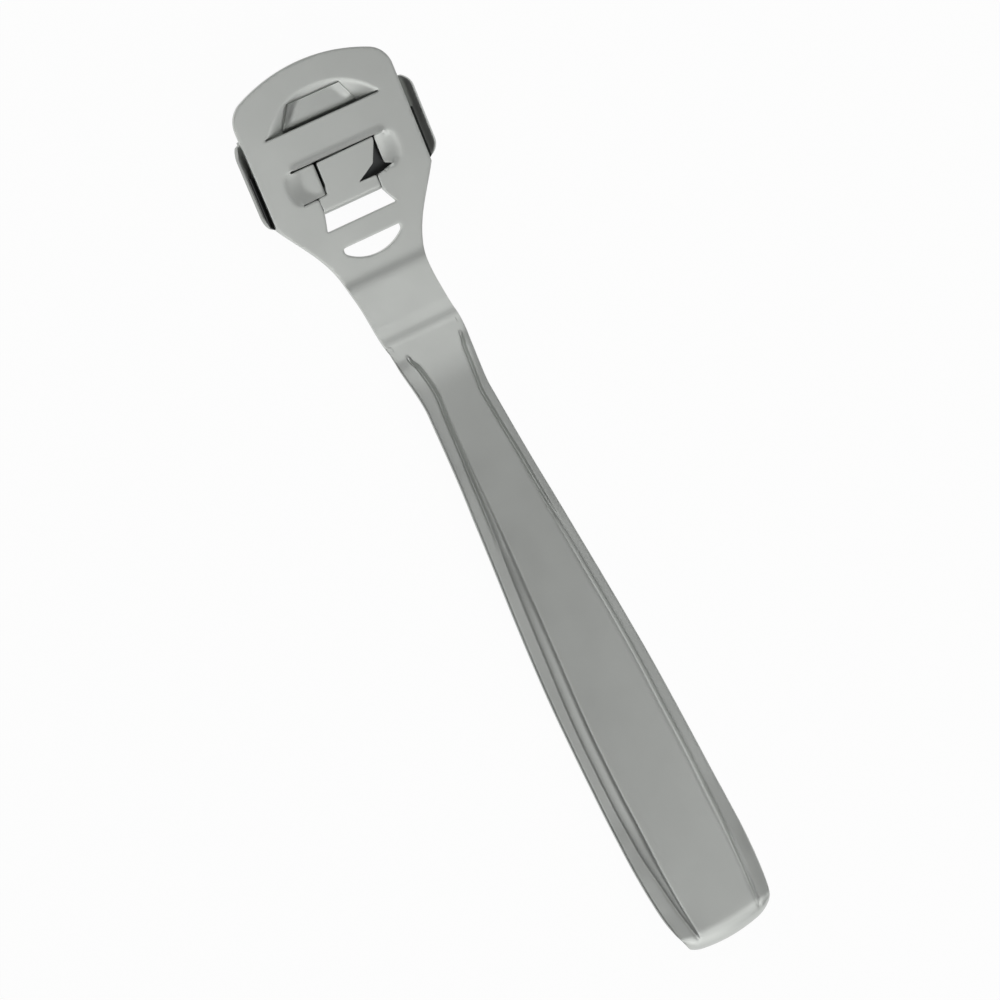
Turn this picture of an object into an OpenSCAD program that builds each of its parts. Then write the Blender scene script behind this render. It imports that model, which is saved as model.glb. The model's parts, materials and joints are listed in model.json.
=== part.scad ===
// Hand tool for thinning hard skin on the foot: a pressed sheet-steel handle whose head
// carries an arched sole plate. The sole plate hooks through the front slit of the head,
// swings down on it for a blade change, and clamps a thin arched blade with a spring latch.
//
// The pieces are drawn in the frame of the head: x runs from the nose towards the handle,
// y runs to the right, z = 0 is the upper face of the flat head, and the skin side is below.
// to_rest() then turns the tool, nose forward, on to the surface that it lies on.

/* [Sheet] */
// Thickness of the handle's steel sheet
sheet_t = 0.9; // [0.8:0.1:1.2]
// Thickness of the sole plate's sheet
sole_t = 0.9; // [0.7:0.1:1.1]
// Thickness of the latch's spring strip
latch_t = 0.6; // [0.4:0.1:0.8]
// Thickness of the blade
blade_t = 0.4; // [0.3:0.05:0.5]

/* [Head] */
// Width of the head plate
head_w = 29.6; // [27:0.2:34]
// Length of the straight sides, from the nose
head_side_end = 25.2; // [24.6:0.2:27]
// Length over which the head narrows to the neck
flank_l = 18.9; // [17:0.1:21]
// Radius of the nose arc, seen from above
nose_r = 25.0; // [20:0.5:32]
// Radius where the nose meets the sides
nose_corner_r = 4.5; // [3:0.5:6]
// Distance from the nose to the front slit
front_slit_x = 10.6; // [10.2:0.1:11]
// Length of the front slit
front_slit_l = 21.4; // [19:0.2:22]
// Width of the front slit
slit_w = 0.6; // [0.5:0.1:0.8]
// Width of the strap between the two slits
strap_w = 5.2; // [4.8:0.1:5.6]
// Length of the front scoop, from its arc to the slit
front_scoop_l = 5.1; // [4.6:0.1:5.6]
// Depth of the front scoop at the slit
front_scoop_depth = 3.1; // [2.9:0.1:3.3]
// Distance from the slit behind the strap to the end of the rear scoops
rear_scoop_l = 6.0; // [5.6:0.1:6.6]
// Width across both rear scoops
rear_scoop_w = 21.0; // [19:0.2:22]
// Depth of the rear scoops
rear_scoop_depth = 2.3; // [1.8:0.1:2.6]

/* [Windows] */
// Front width of the open window, where the latch sits
window_front_w = 12.3; // [11.5:0.1:13]
// Rear width of the open window
window_rear_w = 13.8; // [13.2:0.1:15]
// Distance from the nose to the rear edge of the open window
window_rear_x = 29.0; // [28.4:0.1:29.6]
// Width of the bar between the open window and the half-moon window
bar_w = 3.2; // [2.6:0.1:3.6]
// Width of the half-moon window
moon_w = 10.9; // [9:0.1:12]
// Length of the half-moon window
moon_l = 3.2; // [2.6:0.1:3.4]

/* [Handle] */
// Distance from the nose to the end of the handle, measured along the head plate
handle_end_x = 158.2; // [150:0.2:170]
// Rise of the neck
neck_angle = 28.0; // [22:0.5:32]
// Rise of the handle
handle_angle = 17.4; // [14:0.2:20]
// Width of the neck
neck_w = 14.1; // [12.5:0.1:15]
// Width of the handle at its waist
waist_w = 11.6; // [10.8:0.1:13]
// Width of the handle at its widest
palm_w = 20.1; // [18:0.1:23]
// Height of the raised panel over the side flanges
panel_h = 2.7; // [2.2:0.1:3.2]
// Width of each side flange, from its rim to the foot of the wall
flange_w = 2.2; // [1.9:0.1:2.6]
// Width of the sloping wall beside the panel
wall_run = 1.5; // [1.2:0.1:1.8]
// Depth of the turned-down rim
rim_d = 1.6; // [1.3:0.1:2.0]
// Height of the cross step in the neck
joggle_h = 0.7; // [0.4:0.1:1]

/* [Sole plate and blade] */
// Radius of the arch of the blade
arch_r = 31.0; // [28:0.5:36]
// Width across the wings of the sole plate
sole_w = 34.8; // [33.8:0.2:36]
// Length of the wings along the handle's direction
wing_l = 14.6; // [13.8:0.1:15.2]
// Distance from the nose to the rear edge of the sole plate
sole_rear_x = 24.6; // [24.2:0.1:25]
// Radius of the wings' corners
wing_corner_r = 3.6; // [2.5:0.1:4.5]
// Width of the blade along the handle's direction
blade_w = 9.6; // [9.2:0.1:10]
// Width across the blade's ends
blade_span = 31.0; // [30:0.2:33]
// How far the cutting edge stands behind the sole plate
edge_reveal = 0.7; // [0.4:0.1:0.9]
// Length of the ground bevel
bevel_l = 1.6; // [1.2:0.1:2.2]
// Width of the hook where it passes the front slit
hook_w = 13.8; // [12:0.2:15]
// Width of the hook at its front end
hook_tip_w = 9.6; // [8:0.2:11]

/* [Hidden] */

cut_over = 1.0;                 // how far a cutter runs past what it cuts
seat_gap = 0.1;                 // blade to the head's lower edges and to its nibs
stack_gap = 0.05;               // blade and latch to sole plate
running_gap = 0.3;              // between pieces that pass each other
steel_colour = [0.70, 0.71, 0.69];
dark_colour = [0.42, 0.43, 0.42];
blade_colour = [0.60, 0.61, 0.62];
round_fn = 96;
small_fn = 32;

// Head

head_half = head_w / 2;
front_slit_end = front_slit_x + slit_w;
rear_slit_x = front_slit_end + strap_w;
rear_slit_end = rear_slit_x + rear_scoop_l;
soft_slit_w = 0.45;             // slit between the strap and the rear scoops
rear_slit_half = 8.7;
ear_slit_w = 0.4;               // slit behind the rear scoops
arc_steps = 14;
flank_steps = 16;
moon_margin = 0.9;              // flat sheet behind the half-moon window
plate_end_x = window_rear_x + bar_w + moon_l + moon_margin;
loft_overlap = 0.36;
loft_start_x = plate_end_x - loft_overlap;

// Points of a circular arc about a centre, from one angle to another
function arc_points(centre, r, from, to, steps) =
    [for (i = [0 : steps]) let (a = from + (to - from) * i / steps)
        centre + r * [cos(a), sin(a)]];

// Point on a cubic Bezier curve
function bezier(p, u) =
    pow(1 - u, 3) * p[0] + 3 * u * pow(1 - u, 2) * p[1]
    + 3 * u * u * (1 - u) * p[2] + pow(u, 3) * p[3];

// Flank of the head, from the end of the straight side to the neck, as shares of its length
// and of the drop in half width
neck_x = head_side_end + flank_l;
flank_shares = [[0, 1], [0.33, 0.50], [0.50, 0.07], [1, 0]];
flank = [for (q = flank_shares)
    [head_side_end + q[0] * flank_l, neck_w / 2 + q[1] * (head_half - neck_w / 2)]];

// Curve parameter at which the flank reaches a given distance from the nose
function flank_u(x, lo = 0, hi = 1, n = 24) =
    n == 0 ? (lo + hi) / 2 :
    let (mid = (lo + hi) / 2)
        bezier(flank, mid)[0] < x ? flank_u(x, mid, hi, n - 1) : flank_u(x, lo, mid, n - 1);
function flank_half(x) = bezier(flank, flank_u(x))[1];

// Right-hand edge of the head plate, from the nose to the start of the neck
nose_corner_y = head_half - nose_corner_r;
nose_corner_x = nose_r - sqrt(pow(nose_r - nose_corner_r, 2) - pow(nose_corner_y, 2));
nose_corner_a = atan2(nose_corner_y, nose_corner_x - nose_r);
right_edge = concat(
    arc_points([nose_r, 0], nose_r, 180, nose_corner_a, arc_steps),
    arc_points([nose_corner_x, nose_corner_y], nose_corner_r, nose_corner_a, 90, arc_steps),
    [for (i = [0 : flank_steps]) bezier(flank, flank_u(plate_end_x) * i / flank_steps)]
);

module head_outline() {
    polygon(concat(
        right_edge,
        [for (i = [len(right_edge) - 1 : -1 : 1]) [right_edge[i][0], -right_edge[i][1]]]
    ));
}

// Straight prism through the head sheet over a plan outline
module through_head() {
    translate([0, 0, -sheet_t - cut_over]) linear_extrude(sheet_t + 2 * cut_over) children();
}

// Front scoop: the sheet ahead of the front slit is pressed down as part of a sphere
scoop_end_gap = 0.2;            // flat sheet left between the scoop and each end of the slit
front_scoop_half = front_slit_l / 2 - scoop_end_gap;
front_scoop_plan_r = (pow(front_scoop_half, 2) + pow(front_scoop_l, 2)) / (2 * front_scoop_l);
front_scoop_cx = front_slit_x - front_scoop_l + front_scoop_plan_r;

// Radius of a sphere that cuts the plane z = 0 in a circle of radius plan_r and lies
// depth below that plane at a distance inset inside the circle
function scoop_sphere_r(plan_r, inset, depth) =
    let (a = plan_r * plan_r, b = pow(plan_r - inset, 2),
         k = (a - b - depth * depth) / (2 * depth))
        sqrt(a + k * k);

// Sheet pressed into a ball shape inside the region given as a plan outline
module pressed_scoop(centre, plan_r, inset, depth) {
    r = scoop_sphere_r(plan_r, inset, depth);
    cz = sqrt(r * r - plan_r * plan_r);
    difference() {
        intersection() {
            translate([centre[0], centre[1], cz]) sphere(r + sheet_t, $fn = round_fn);
            translate([0, 0, -r]) linear_extrude(r) children();
        }
        translate([centre[0], centre[1], cz]) sphere(r, $fn = round_fn);
    }
}

// Space that a scoop takes out of the flat plate
module scoop_space(centre, plan_r, inset, depth) {
    r = scoop_sphere_r(plan_r, inset, depth);
    cz = sqrt(r * r - plan_r * plan_r);
    intersection() {
        translate([centre[0], centre[1], cz]) sphere(r, $fn = round_fn);
        through_head() children();
    }
}

module front_scoop_region() {
    half = front_slit_l / 2 + cut_over;
    translate([front_slit_x - front_scoop_l - cut_over, -half])
        square([front_scoop_l + cut_over, 2 * half]);
}

// Rear scoops: one ear each side of the latch opening
ear_r_share = 0.92;
ear_centre_share = 0.48;
ear_r = ear_r_share * rear_scoop_l;
ear_cx = rear_slit_x + ear_centre_share * rear_scoop_l;
ear_cy = rear_scoop_w / 2 - ear_r;

// Latch tongue, seen from above: a catch behind the strap and a cross strip in the window
catch_gap = 0.5;
catch_left_y = -3.9;
catch_right_y = 7.1;
strip_side_gap = 0.2;
strip_rear_gap = 3.3;
catch_front_x = rear_slit_x + catch_gap;
strip_front_x = rear_slit_end + ear_slit_w;
strip_rear_x = window_rear_x - strip_rear_gap;
strip_half = window_front_w / 2 - strip_side_gap;

// Sides of the catch, as shares of its length and of its width
catch_left_shares = [[0.03, 0], [0.81, 0], [1, -0.03]];
catch_right_shares = [[1, 0.38], [0.69, 0.60], [0.56, 0.83], [0.085, 1], [0, 0.96]];
function catch_points(shares) = [for (q = shares)
    [catch_front_x + q[0] * (strip_front_x - catch_front_x),
     catch_left_y + q[1] * (catch_right_y - catch_left_y)]];
latch_outline = concat(
    catch_points(catch_left_shares),
    [[strip_front_x, -strip_half], [strip_rear_x, -strip_half],
     [strip_rear_x, strip_half], [strip_front_x, strip_half]],
    catch_points(catch_right_shares)
);

// Opening in the head around the latch: slit behind the strap, well and window
well_side_gap = 0.5;
well_right_gap = 0.7;
well_flare = 1.5;
well_left_y = catch_left_y - well_side_gap;
well_right_y = catch_right_y + well_right_gap;
module latch_opening() {
    polygon([
        [rear_slit_x, well_left_y], [rear_slit_x, well_right_y],
        [strip_front_x, well_right_y + well_flare], [strip_front_x, window_front_w / 2],
        [strip_rear_x, window_front_w / 2], [window_rear_x, window_rear_w / 2],
        [window_rear_x, -window_rear_w / 2], [strip_rear_x, -window_front_w / 2],
        [strip_front_x, -window_front_w / 2], [strip_front_x, well_left_y]
    ]);
    translate([rear_slit_x, -rear_slit_half]) square([soft_slit_w, rear_slit_half]);
    translate([rear_slit_end, -rear_slit_half]) square([ear_slit_w, rear_slit_half + well_left_y]);
}

module ear_region(side) {
    inner = side < 0 ? -well_left_y : well_right_y;
    front_x = rear_slit_x + soft_slit_w;
    intersection() {
        translate([ear_cx, side * ear_cy]) circle(ear_r, $fn = round_fn);
        translate([front_x, side < 0 ? -rear_scoop_w : inner])
            square([rear_slit_end - front_x, rear_scoop_w - inner]);
    }
}

module half_moon() {
    r = (pow(moon_w / 2, 2) + pow(moon_l, 2)) / (2 * moon_l);
    front = window_rear_x + bar_w;
    intersection() {
        translate([front + moon_l - r, 0]) circle(r, $fn = round_fn);
        translate([front, -moon_w / 2]) square([moon_l, moon_w]);
    }
}

module head_plate() {
    difference() {
        translate([0, 0, -sheet_t]) linear_extrude(sheet_t) head_outline();
        through_head() half_moon();
        through_head() latch_opening();
        through_head() translate([front_slit_x, -front_slit_l / 2]) square([slit_w, front_slit_l]);
        scoop_space([front_scoop_cx, 0], front_scoop_plan_r, front_scoop_l, front_scoop_depth)
            front_scoop_region();
        for (side = [-1, 1])
            scoop_space([ear_cx, side * ear_cy], ear_r, ear_r, rear_scoop_depth)
                ear_region(side);
    }
    pressed_scoop([front_scoop_cx, 0], front_scoop_plan_r, front_scoop_l, front_scoop_depth)
        front_scoop_region();
    for (side = [-1, 1])
        pressed_scoop([ear_cx, side * ear_cy], ear_r, ear_r, rear_scoop_depth) ear_region(side);
}

// Handle: a sheet lofted along a bent path. Each ring holds the upper face from left to
// right and the lower face back, so the loft is one closed skin.

function ease(u) = u <= 0 ? 0 : u >= 1 ? 1 : u * u * (3 - 2 * u);
function ease_area(u) = u <= 0 ? 0 : u >= 1 ? u - 0.5 : pow(u, 3) - pow(u, 4) / 2;
function ease_rate(u) = u <= 0 || u >= 1 ? 0 : 6 * u * (1 - u);
function bump(u) = 16 * pow(u * (1 - u), 2);

flat_run = 0.36;                // flat stretch between the plate's end and the first bend
bend1_x = plate_end_x + flat_run;
bend1_l = 4.0;
bend1_end = bend1_x + bend1_l;
joggle_x = 47.8;
joggle_l = 2.2;
joggle_end = joggle_x + joggle_l;
bend2_x = 53.0;
bend2_l = 8.0;
end_r = 2.4;                    // radius of the turned-down end
slope1 = tan(neck_angle);
slope2 = tan(handle_angle);
path_end_x = handle_end_x - end_r;

// Height and slope of the sheet's upper face along the middle
function path_z(x) =
    slope1 * bend1_l * ease_area((x - bend1_x) / bend1_l)
    - (slope1 - slope2) * bend2_l * ease_area((x - bend2_x) / bend2_l)
    + joggle_h * ease((x - joggle_x) / joggle_l);
function path_slope(x) =
    slope1 * ease((x - bend1_x) / bend1_l)
    - (slope1 - slope2) * ease((x - bend2_x) / bend2_l)
    + joggle_h / joggle_l * ease_rate((x - joggle_x) / joggle_l);

// Half width of the outline at a distance from the nose
waist_x = 61.5;
palm_x = 138;
palm_taper = 0.8;               // how far each side draws in from the palm to the end
end_corner_r = 4.2;
end_bulge = 1.1;                // how far the end's middle stands behind its sides
end_bulge_l = 9.0;
palm_shares = [[0, 0], [0.15, 0.155], [0.26, 0.32], [0.37, 0.485], [0.47, 0.64], [0.58, 0.785],
    [0.68, 0.885], [0.79, 0.945], [0.89, 0.98], [1, 1]];
function mix_shares(t, v, i = 0) =
    v >= t[i + 1][0] && i < len(t) - 2 ? mix_shares(t, v, i + 1) :
    let (u = (v - t[i][0]) / (t[i + 1][0] - t[i][0]),
         a = i > 0 ? t[i - 1] : t[i], d = i < len(t) - 2 ? t[i + 2] : t[i + 1],
         span = t[i + 1][0] - t[i][0],
         m0 = (t[i + 1][1] - a[1]) / (t[i + 1][0] - a[0]) * span,
         m1 = (d[1] - t[i][1]) / (d[0] - t[i][0]) * span)
        (2 * pow(u, 3) - 3 * u * u + 1) * t[i][1] + (pow(u, 3) - 2 * u * u + u) * m0
        + (3 * u * u - 2 * pow(u, 3)) * t[i + 1][1] + (pow(u, 3) - u * u) * m1;
function body_half(x) =
    x < neck_x ? flank_half(x) :
    x < waist_x ? (neck_w + (waist_w - neck_w) * ease((x - joggle_end) / (waist_x - joggle_end))) / 2 :
    x < palm_x ? (waist_w + (palm_w - waist_w)
                  * mix_shares(palm_shares, (x - waist_x) / (palm_x - waist_x))) / 2 :
    palm_w / 2 - palm_taper * pow((x - palm_x) / (handle_end_x - palm_x), 2);
function corner_cut(x) =
    let (v = (x - (handle_end_x - end_corner_r)) / end_corner_r)
        v <= 0 ? 0 : end_corner_r * (1 - sqrt(1 - min(1, v * v)));

// Shape of the cross-section: 0 on the flat neck, 1 along the handle
groove_start_x = 52.5;
groove_open_l = 9.0;
groove_close_l = 7.0;
groove_end_margin = 2.2;
groove_open_x = groove_start_x + groove_open_l;
groove_close_x = handle_end_x - groove_end_margin - groove_close_l;
rim_start_x = 49.5;
rim_open_l = 10.0;
rim_close_l = 4.4;
rim_close_lead = 4.0;           // how far ahead of the turned-down end the rim runs out
function groove_share(x) =
    ease((x - groove_start_x) / groove_open_l) * (1 - ease((x - groove_close_x) / groove_close_l));
function rim_share(x) =
    ease((x - rim_start_x) / rim_open_l) * (1 - ease((x - path_end_x + rim_close_lead) / rim_close_l));
function panel_half(x) =
    let (open = ease((x - groove_start_x) / groove_open_l))
        body_half(x) - wall_run - rim_run * (1 - open) - flange_w * open;

wall_shares = [0, 0.12, 0.25, 0.4, 0.6, 0.75, 0.88, 1];
rim_shares = [0, 0.3, 0.6, 0.85, 1];
rim_run_share = 0.85;           // part of the flange that the rim's curve takes
least_flange_share = 0.3;
wall_inset_share = 0.4;         // how far the wall's hidden face is drawn inwards
rim_inset_share = 0.75;         // the same at the lip of the rim
rim_thinning_share = 0.35;
rim_run = rim_run_share * flange_w;
wall_inset = wall_inset_share * sheet_t;
rim_inset = rim_inset_share * sheet_t;

// Right half of the section, from the middle to the rim. Each row holds a point of the upper
// face and the point of the lower face behind it: [y, depth, lower y, lower depth]
function half_section(x, inset) =
    let (w = body_half(x) - corner_cut(x) - inset,
         p = min(panel_half(x), w - wall_run - least_flange_share * flange_w),
         groove = groove_share(x), rim = rim_share(x), h = panel_h * groove, d = rim_d * rim,
         foot = p + wall_run, run = min(rim_run, rim_run_share * (w - foot)),
         t = sheet_t - 2 * inset)
    concat(
        [[0, inset, 0, inset + t], [p / 2, inset, p / 2, inset + t]],
        [for (u = wall_shares) let (y = p + wall_run * u, q = inset + h * ease(u))
            [y, q, y - wall_inset * groove * bump(u), q + t]],
        [for (u = rim_shares) let (y = w - run * (1 - u), q = inset + h + d * u * u)
            [y, q, y - rim_inset * rim * u * u, q + t * (1 - rim_thinning_share * rim * u * u)]]
    );
function mirrored(rows) = concat(
    [for (i = [len(rows) - 1 : -1 : 1]) [-rows[i][0], rows[i][1], -rows[i][2], rows[i][3]]], rows);

// Stations: distances from the nose, closer together where the shape changes
tail_x = path_end_x - loft_overlap;
function stations(from, to, n) = [for (i = [1 : n]) from + (to - from) * i / n];
station_list = concat(
    [bend1_x], stations(bend1_x, bend1_end, 4), stations(bend1_end, joggle_x, 4),
    stations(joggle_x, joggle_end, 4), stations(joggle_end, groove_start_x, 2),
    stations(groove_start_x, groove_open_x, 8), stations(groove_open_x, groove_close_x, 14),
    stations(groove_close_x, tail_x, 6)
);
end_angles = [15, 35, 55, 75, 90];
joint_inset = 0.02;

// Ring of 3-D points at a station; turn is the extra angle of the turned-down end, and
// inset draws the ring in a little on all sides, where the loft starts inside the plate
function ring(x, turn = 0, inset = 0) =
    let (reach = x + end_r * sin(turn),
         rows = mirrored(half_section(reach, inset)),
         slope = atan(path_slope(x)) - turn,
         base = [x, path_z(x)]
            + end_r * [sin(turn) * cos(handle_angle) + (1 - cos(turn)) * sin(handle_angle),
                       sin(turn) * sin(handle_angle) - (1 - cos(turn)) * cos(handle_angle)],
         down = [sin(slope), -cos(slope)],
         bulge = end_bulge * ease((reach - handle_end_x + end_bulge_l) / end_bulge_l),
         drawn_in = bulge / pow(palm_w / 2, 2))
    concat(
        [for (r = rows) let (q = base + down * r[1]) [q[0] - drawn_in * r[0] * r[0], r[0], q[1]]],
        [for (i = [len(rows) - 1 : -1 : 0]) let (r = rows[i], q = base + down * r[3])
            [q[0] - drawn_in * r[2] * r[2], r[2], q[1]]]
    );
handle_rings = concat(
    [ring(loft_start_x, 0, joint_inset), ring(bend1_x - flat_run / 2, 0, joint_inset)],
    [for (x = station_list) ring(x)],
    [for (a = end_angles) ring(path_end_x, a)]
);

module handle_loft() {
    n = len(handle_rings[0]);
    m = len(handle_rings);
    half = n / 2;
    points = [for (r = handle_rings) each r];
    sides = [for (k = [0 : m - 2]) for (i = [0 : n - 1])
        let (j = (i + 1) % n)
            each [[k * n + i, (k + 1) * n + j, (k + 1) * n + i], [k * n + i, k * n + j, (k + 1) * n + j]]];
    // The ends are strips between the upper and the lower face
    function cap(k) = [for (i = [0 : half - 2])
        [k * n + i, k * n + i + 1, k * n + n - 2 - i, k * n + n - 1 - i]];
    front = [for (f = cap(0)) each [[f[2], f[1], f[0]], [f[3], f[2], f[0]]]];
    back = [for (f = cap(m - 1)) each [[f[0], f[1], f[2]], [f[0], f[2], f[3]]]];
    polyhedron(points = points, faces = concat(front, sides, back), convexity = 8);
}

module handle_body() {
    to_rest() color(steel_colour) {
        head_plate();
        handle_loft();
    }
}

// Sole plate and blade: shells round one arch axis that runs along the tool above the head

arch_rise = arch_r - sqrt(arch_r * arch_r - head_half * head_half);
blade_top_z = -sheet_t - seat_gap - arch_rise;
arch_z = blade_top_z + arch_r;
sole_r = arch_r + blade_t + stack_gap;
sole_top_z = arch_z - sole_r;
sole_low_z = sole_top_z - sole_t;
arch_margin_angle = 8;

// Turns a section drawn as [radius, distance from the nose] about the arch axis
module arched(half_angle) {
    translate([0, 0, arch_z]) rotate([0, 90, 0]) rotate([0, 0, -half_angle])
        rotate_extrude(angle = 2 * half_angle, $fn = round_fn) children();
}

// Straight prism through everything below the head over a plan outline
module under_head() {
    translate([0, 0, sole_low_z - cut_over]) linear_extrude(2 * cut_over - sole_low_z) children();
}

// Slab across the tool, drawn as [distance from the nose, height]
module across(half) {
    translate([0, half, 0]) rotate([90, 0, 0]) linear_extrude(2 * half) children();
}

// Swing axis of the sole plate, in the front slit
hinge_drop = 0.5;
hinge_x = front_slit_x + slit_w / 2;
hinge_z = -sheet_t - hinge_drop;

sole_front_gap = 0.4;
wing_step = 2.4;                // how far in the wings step forward of the rest
wing_slant = 0.3;
wing_corner_angle = 55;
sole_front_x = front_slit_end + sole_front_gap;
wing_front_x = sole_rear_x - wing_l;

// Plan outline of the sole plate: wings beside the head reach further forward than the rest
module sole_outline() {
    half = sole_w / 2;
    inner = half - wing_step;
    corner = wing_corner_r;
    polygon(concat(
        [[sole_front_x, -inner], [wing_front_x + wing_slant, -inner]],
        arc_points([wing_front_x + corner, corner - half], corner, 270 - wing_corner_angle, 270, arc_steps),
        arc_points([sole_rear_x - corner, corner - half], corner, 270, 360, arc_steps),
        arc_points([sole_rear_x - corner, half - corner], corner, 0, 90, arc_steps),
        arc_points([wing_front_x + corner, half - corner], corner, 90, 90 + wing_corner_angle, arc_steps),
        [[wing_front_x + wing_slant, inner], [sole_front_x, inner]]
    ));
}

// Hook: a strip bent up out of the sole plate. It passes the slit under the strap and lies
// over the front scoop.
hook_t = 0.7;
hook_flat_l = 0.9;
hook_root_margin = 1.1;
hook_tip_margin = 1.35;
hook_tip_rise = 1.9;
hook_top_z = hinge_z + hook_t / 2;
hook_rise_x = front_slit_end + hook_flat_l;
hook_root_x = rear_slit_x - hook_root_margin;
hook_tip_x = front_slit_x - front_scoop_l + hook_tip_margin;
hook_leg_angle = atan2(hook_top_z - sole_top_z, hook_root_x - hook_rise_x);
hook_tip_angle = atan2(hook_tip_rise, hinge_x - hook_tip_x);

// Distance from the nose of the hook's sloping leg, at a height
function hook_leg_x(z) = hook_rise_x + (hook_top_z - z) / tan(hook_leg_angle);

// Upper and lower line of the hook, t apart, from its tip to below the sole plate
function hook_line(t) = let (bottom = sole_low_z - cut_over)
    [[hook_tip_x - t * sin(hook_tip_angle), hook_top_z + hook_tip_rise - t * cos(hook_tip_angle)],
     [hinge_x - t * tan(hook_tip_angle / 2), hook_top_z - t],
     [hook_rise_x - t * tan(hook_leg_angle / 2), hook_top_z - t],
     [hook_leg_x(bottom) - t / sin(hook_leg_angle), bottom]];
module hook_profile() {
    lower = hook_line(2 * hook_t);
    polygon(concat(hook_line(0), [for (i = [3 : -1 : 0]) lower[i]]));
}
module under_hook() {
    line = hook_line(hook_t);
    front_x = line[0][0] - cut_over;
    polygon(concat(line, [[front_x, line[3][1]], [front_x, line[0][1]]]));
}
module hook_plan() {
    polygon([
        [hook_tip_x - hook_t * sin(hook_tip_angle), -hook_tip_w / 2], [front_slit_x, -hook_w / 2],
        [hook_leg_x(sole_low_z), -hook_w / 2], [hook_leg_x(sole_low_z), hook_w / 2],
        [front_slit_x, hook_w / 2], [hook_tip_x - hook_t * sin(hook_tip_angle), hook_tip_w / 2]
    ]);
}

// Nibs that locate the blade, and the holes for them
nib_r = 0.9;
nib_angle = 20.0;
nib_margin = 4.6;
nib_recess = 0.1;
nib_x = sole_rear_x - nib_margin;
blade_front_x = sole_rear_x + edge_reveal - blade_w;
edge_land_share = 0.1;          // part of the blade's thickness left at the cutting edge
module at_nibs() {
    for (side = [-1, 1])
        translate([nib_x, 0, arch_z]) rotate([side * nib_angle, 0, 0]) rotate([180, 0, 0])
            children();
}

// Latch leg: rises from a roll on the sole plate through the blade to the strip in the window
leg_w = 4.4;
leg_root_margin = 2.0;
leg_slot_l = 3.2;
leg_root_x = rear_slit_x + leg_root_margin;
leg_root_z = arch_z - sqrt(sole_r * sole_r - leg_w * leg_w / 4) + stack_gap + latch_t / 2;

module sole_plate() {
    to_rest() color(dark_colour)
        difference() {
            union() {
                intersection() {
                    arched(asin(sole_w / 2 / sole_r) + arch_margin_angle)
                        translate([sole_r, wing_front_x - cut_over])
                            square([sole_t, wing_l + 2 * cut_over]);
                    under_head() sole_outline();
                }
                intersection() {
                    across(hook_w) hook_profile();
                    under_head() hook_plan();
                    translate([0, 0, arch_z]) rotate([0, 90, 0])
                        cylinder(h = sole_rear_x, r = sole_r + sole_t / 2, $fn = round_fn);
                }
                at_nibs() translate([0, 0, arch_r + nib_recess])
                    cylinder(h = sole_r + sole_t / 2 - arch_r - nib_recess, r = nib_r, $fn = small_fn);
            }
            across(hook_w / 2 + running_gap) under_hook();
        }
}

module blade() {
    to_rest() color(blade_colour)
        difference() {
            arched(asin(blade_span / 2 / arch_r))
                polygon([
                    [arch_r, blade_front_x], [arch_r + blade_t, blade_front_x],
                    [arch_r + blade_t, blade_front_x + blade_w - bevel_l],
                    [arch_r + edge_land_share * blade_t, blade_front_x + blade_w],
                    [arch_r, blade_front_x + blade_w]
                ]);
            at_nibs() translate([0, 0, arch_r - cut_over])
                cylinder(h = blade_t + 2 * cut_over, r = nib_r + seat_gap, $fn = small_fn);
            under_head()
                translate([leg_root_x - latch_t / 2 - running_gap, -leg_w / 2 - running_gap])
                    square([leg_slot_l, leg_w + 2 * running_gap]);
        }
}

// Side view of the latch: flat tongue, turned back and down at its rear into the leg
latch_drop = 0.15;              // how far the tongue lies below the head's upper face
turn_l = 1.0;                   // length and height of the turn at the rear
turn_h = 0.9;
turn_bevel = 0.25;
latch_top_z = -latch_drop;
latch_low_z = latch_top_z - latch_t;
leg_top = [strip_rear_x - turn_l, latch_low_z - turn_h];
leg_run = leg_top - [leg_root_x, leg_root_z];
leg_side = latch_t / 2 * [-leg_run[1], leg_run[0]] / norm(leg_run);
module tongue_profile() {
    polygon([
        [catch_front_x - cut_over, latch_top_z], [catch_front_x - cut_over, latch_low_z],
        [leg_top[0] + leg_side[0], latch_low_z], leg_top + leg_side, leg_top - leg_side,
        [strip_rear_x - turn_bevel, leg_top[1] + turn_bevel], [strip_rear_x, latch_low_z],
        [strip_rear_x, latch_top_z - turn_bevel], [strip_rear_x - turn_bevel, latch_top_z]
    ]);
}
module leg_profile() {
    root = [leg_root_x, leg_root_z];
    polygon([root - leg_side, root + leg_side, leg_top + leg_side, leg_top - leg_side]);
    translate(root) circle(latch_t / 2, $fn = small_fn);
}
module latch_tongue() {
    to_rest() color(steel_colour) {
        intersection() {
            across(window_front_w) tongue_profile();
            under_head() polygon(latch_outline);
        }
        across(leg_w / 2) leg_profile();
    }
}

// Resting place: the rear edge of the sole plate and the handle's rims touch the surface.
// The tool tilts until the line from the sole plate is the lowest that meets the handle.

handle_points = [for (r = handle_rings) each r];
rest_tilt = min([for (p = handle_points) atan2(p[2] - sole_low_z, p[0] - sole_rear_x)]);
rest_base_z = -sole_rear_x * sin(rest_tilt) + sole_low_z * cos(rest_tilt);
far_x = max([for (p = handle_points) p[0] * cos(rest_tilt) + p[2] * sin(rest_tilt)]);
near_x = -sheet_t * sin(rest_tilt);

module to_rest() {
    translate([(far_x + near_x) / 2, 0, -rest_base_z]) rotate([0, 0, 180]) rotate([0, rest_tilt, 0])
        children();
}

handle_body();
sole_plate();
blade();
latch_tongue();
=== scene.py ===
"""A steel tool for thinning hard skin on the foot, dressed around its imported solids.

The pieces are drawn in the frame of the head, in metres: x from the nose towards the handle,
y to the right, z = 0 on the upper face of the flat head. TO_REST turns them to where the
tool lies.
"""

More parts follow.
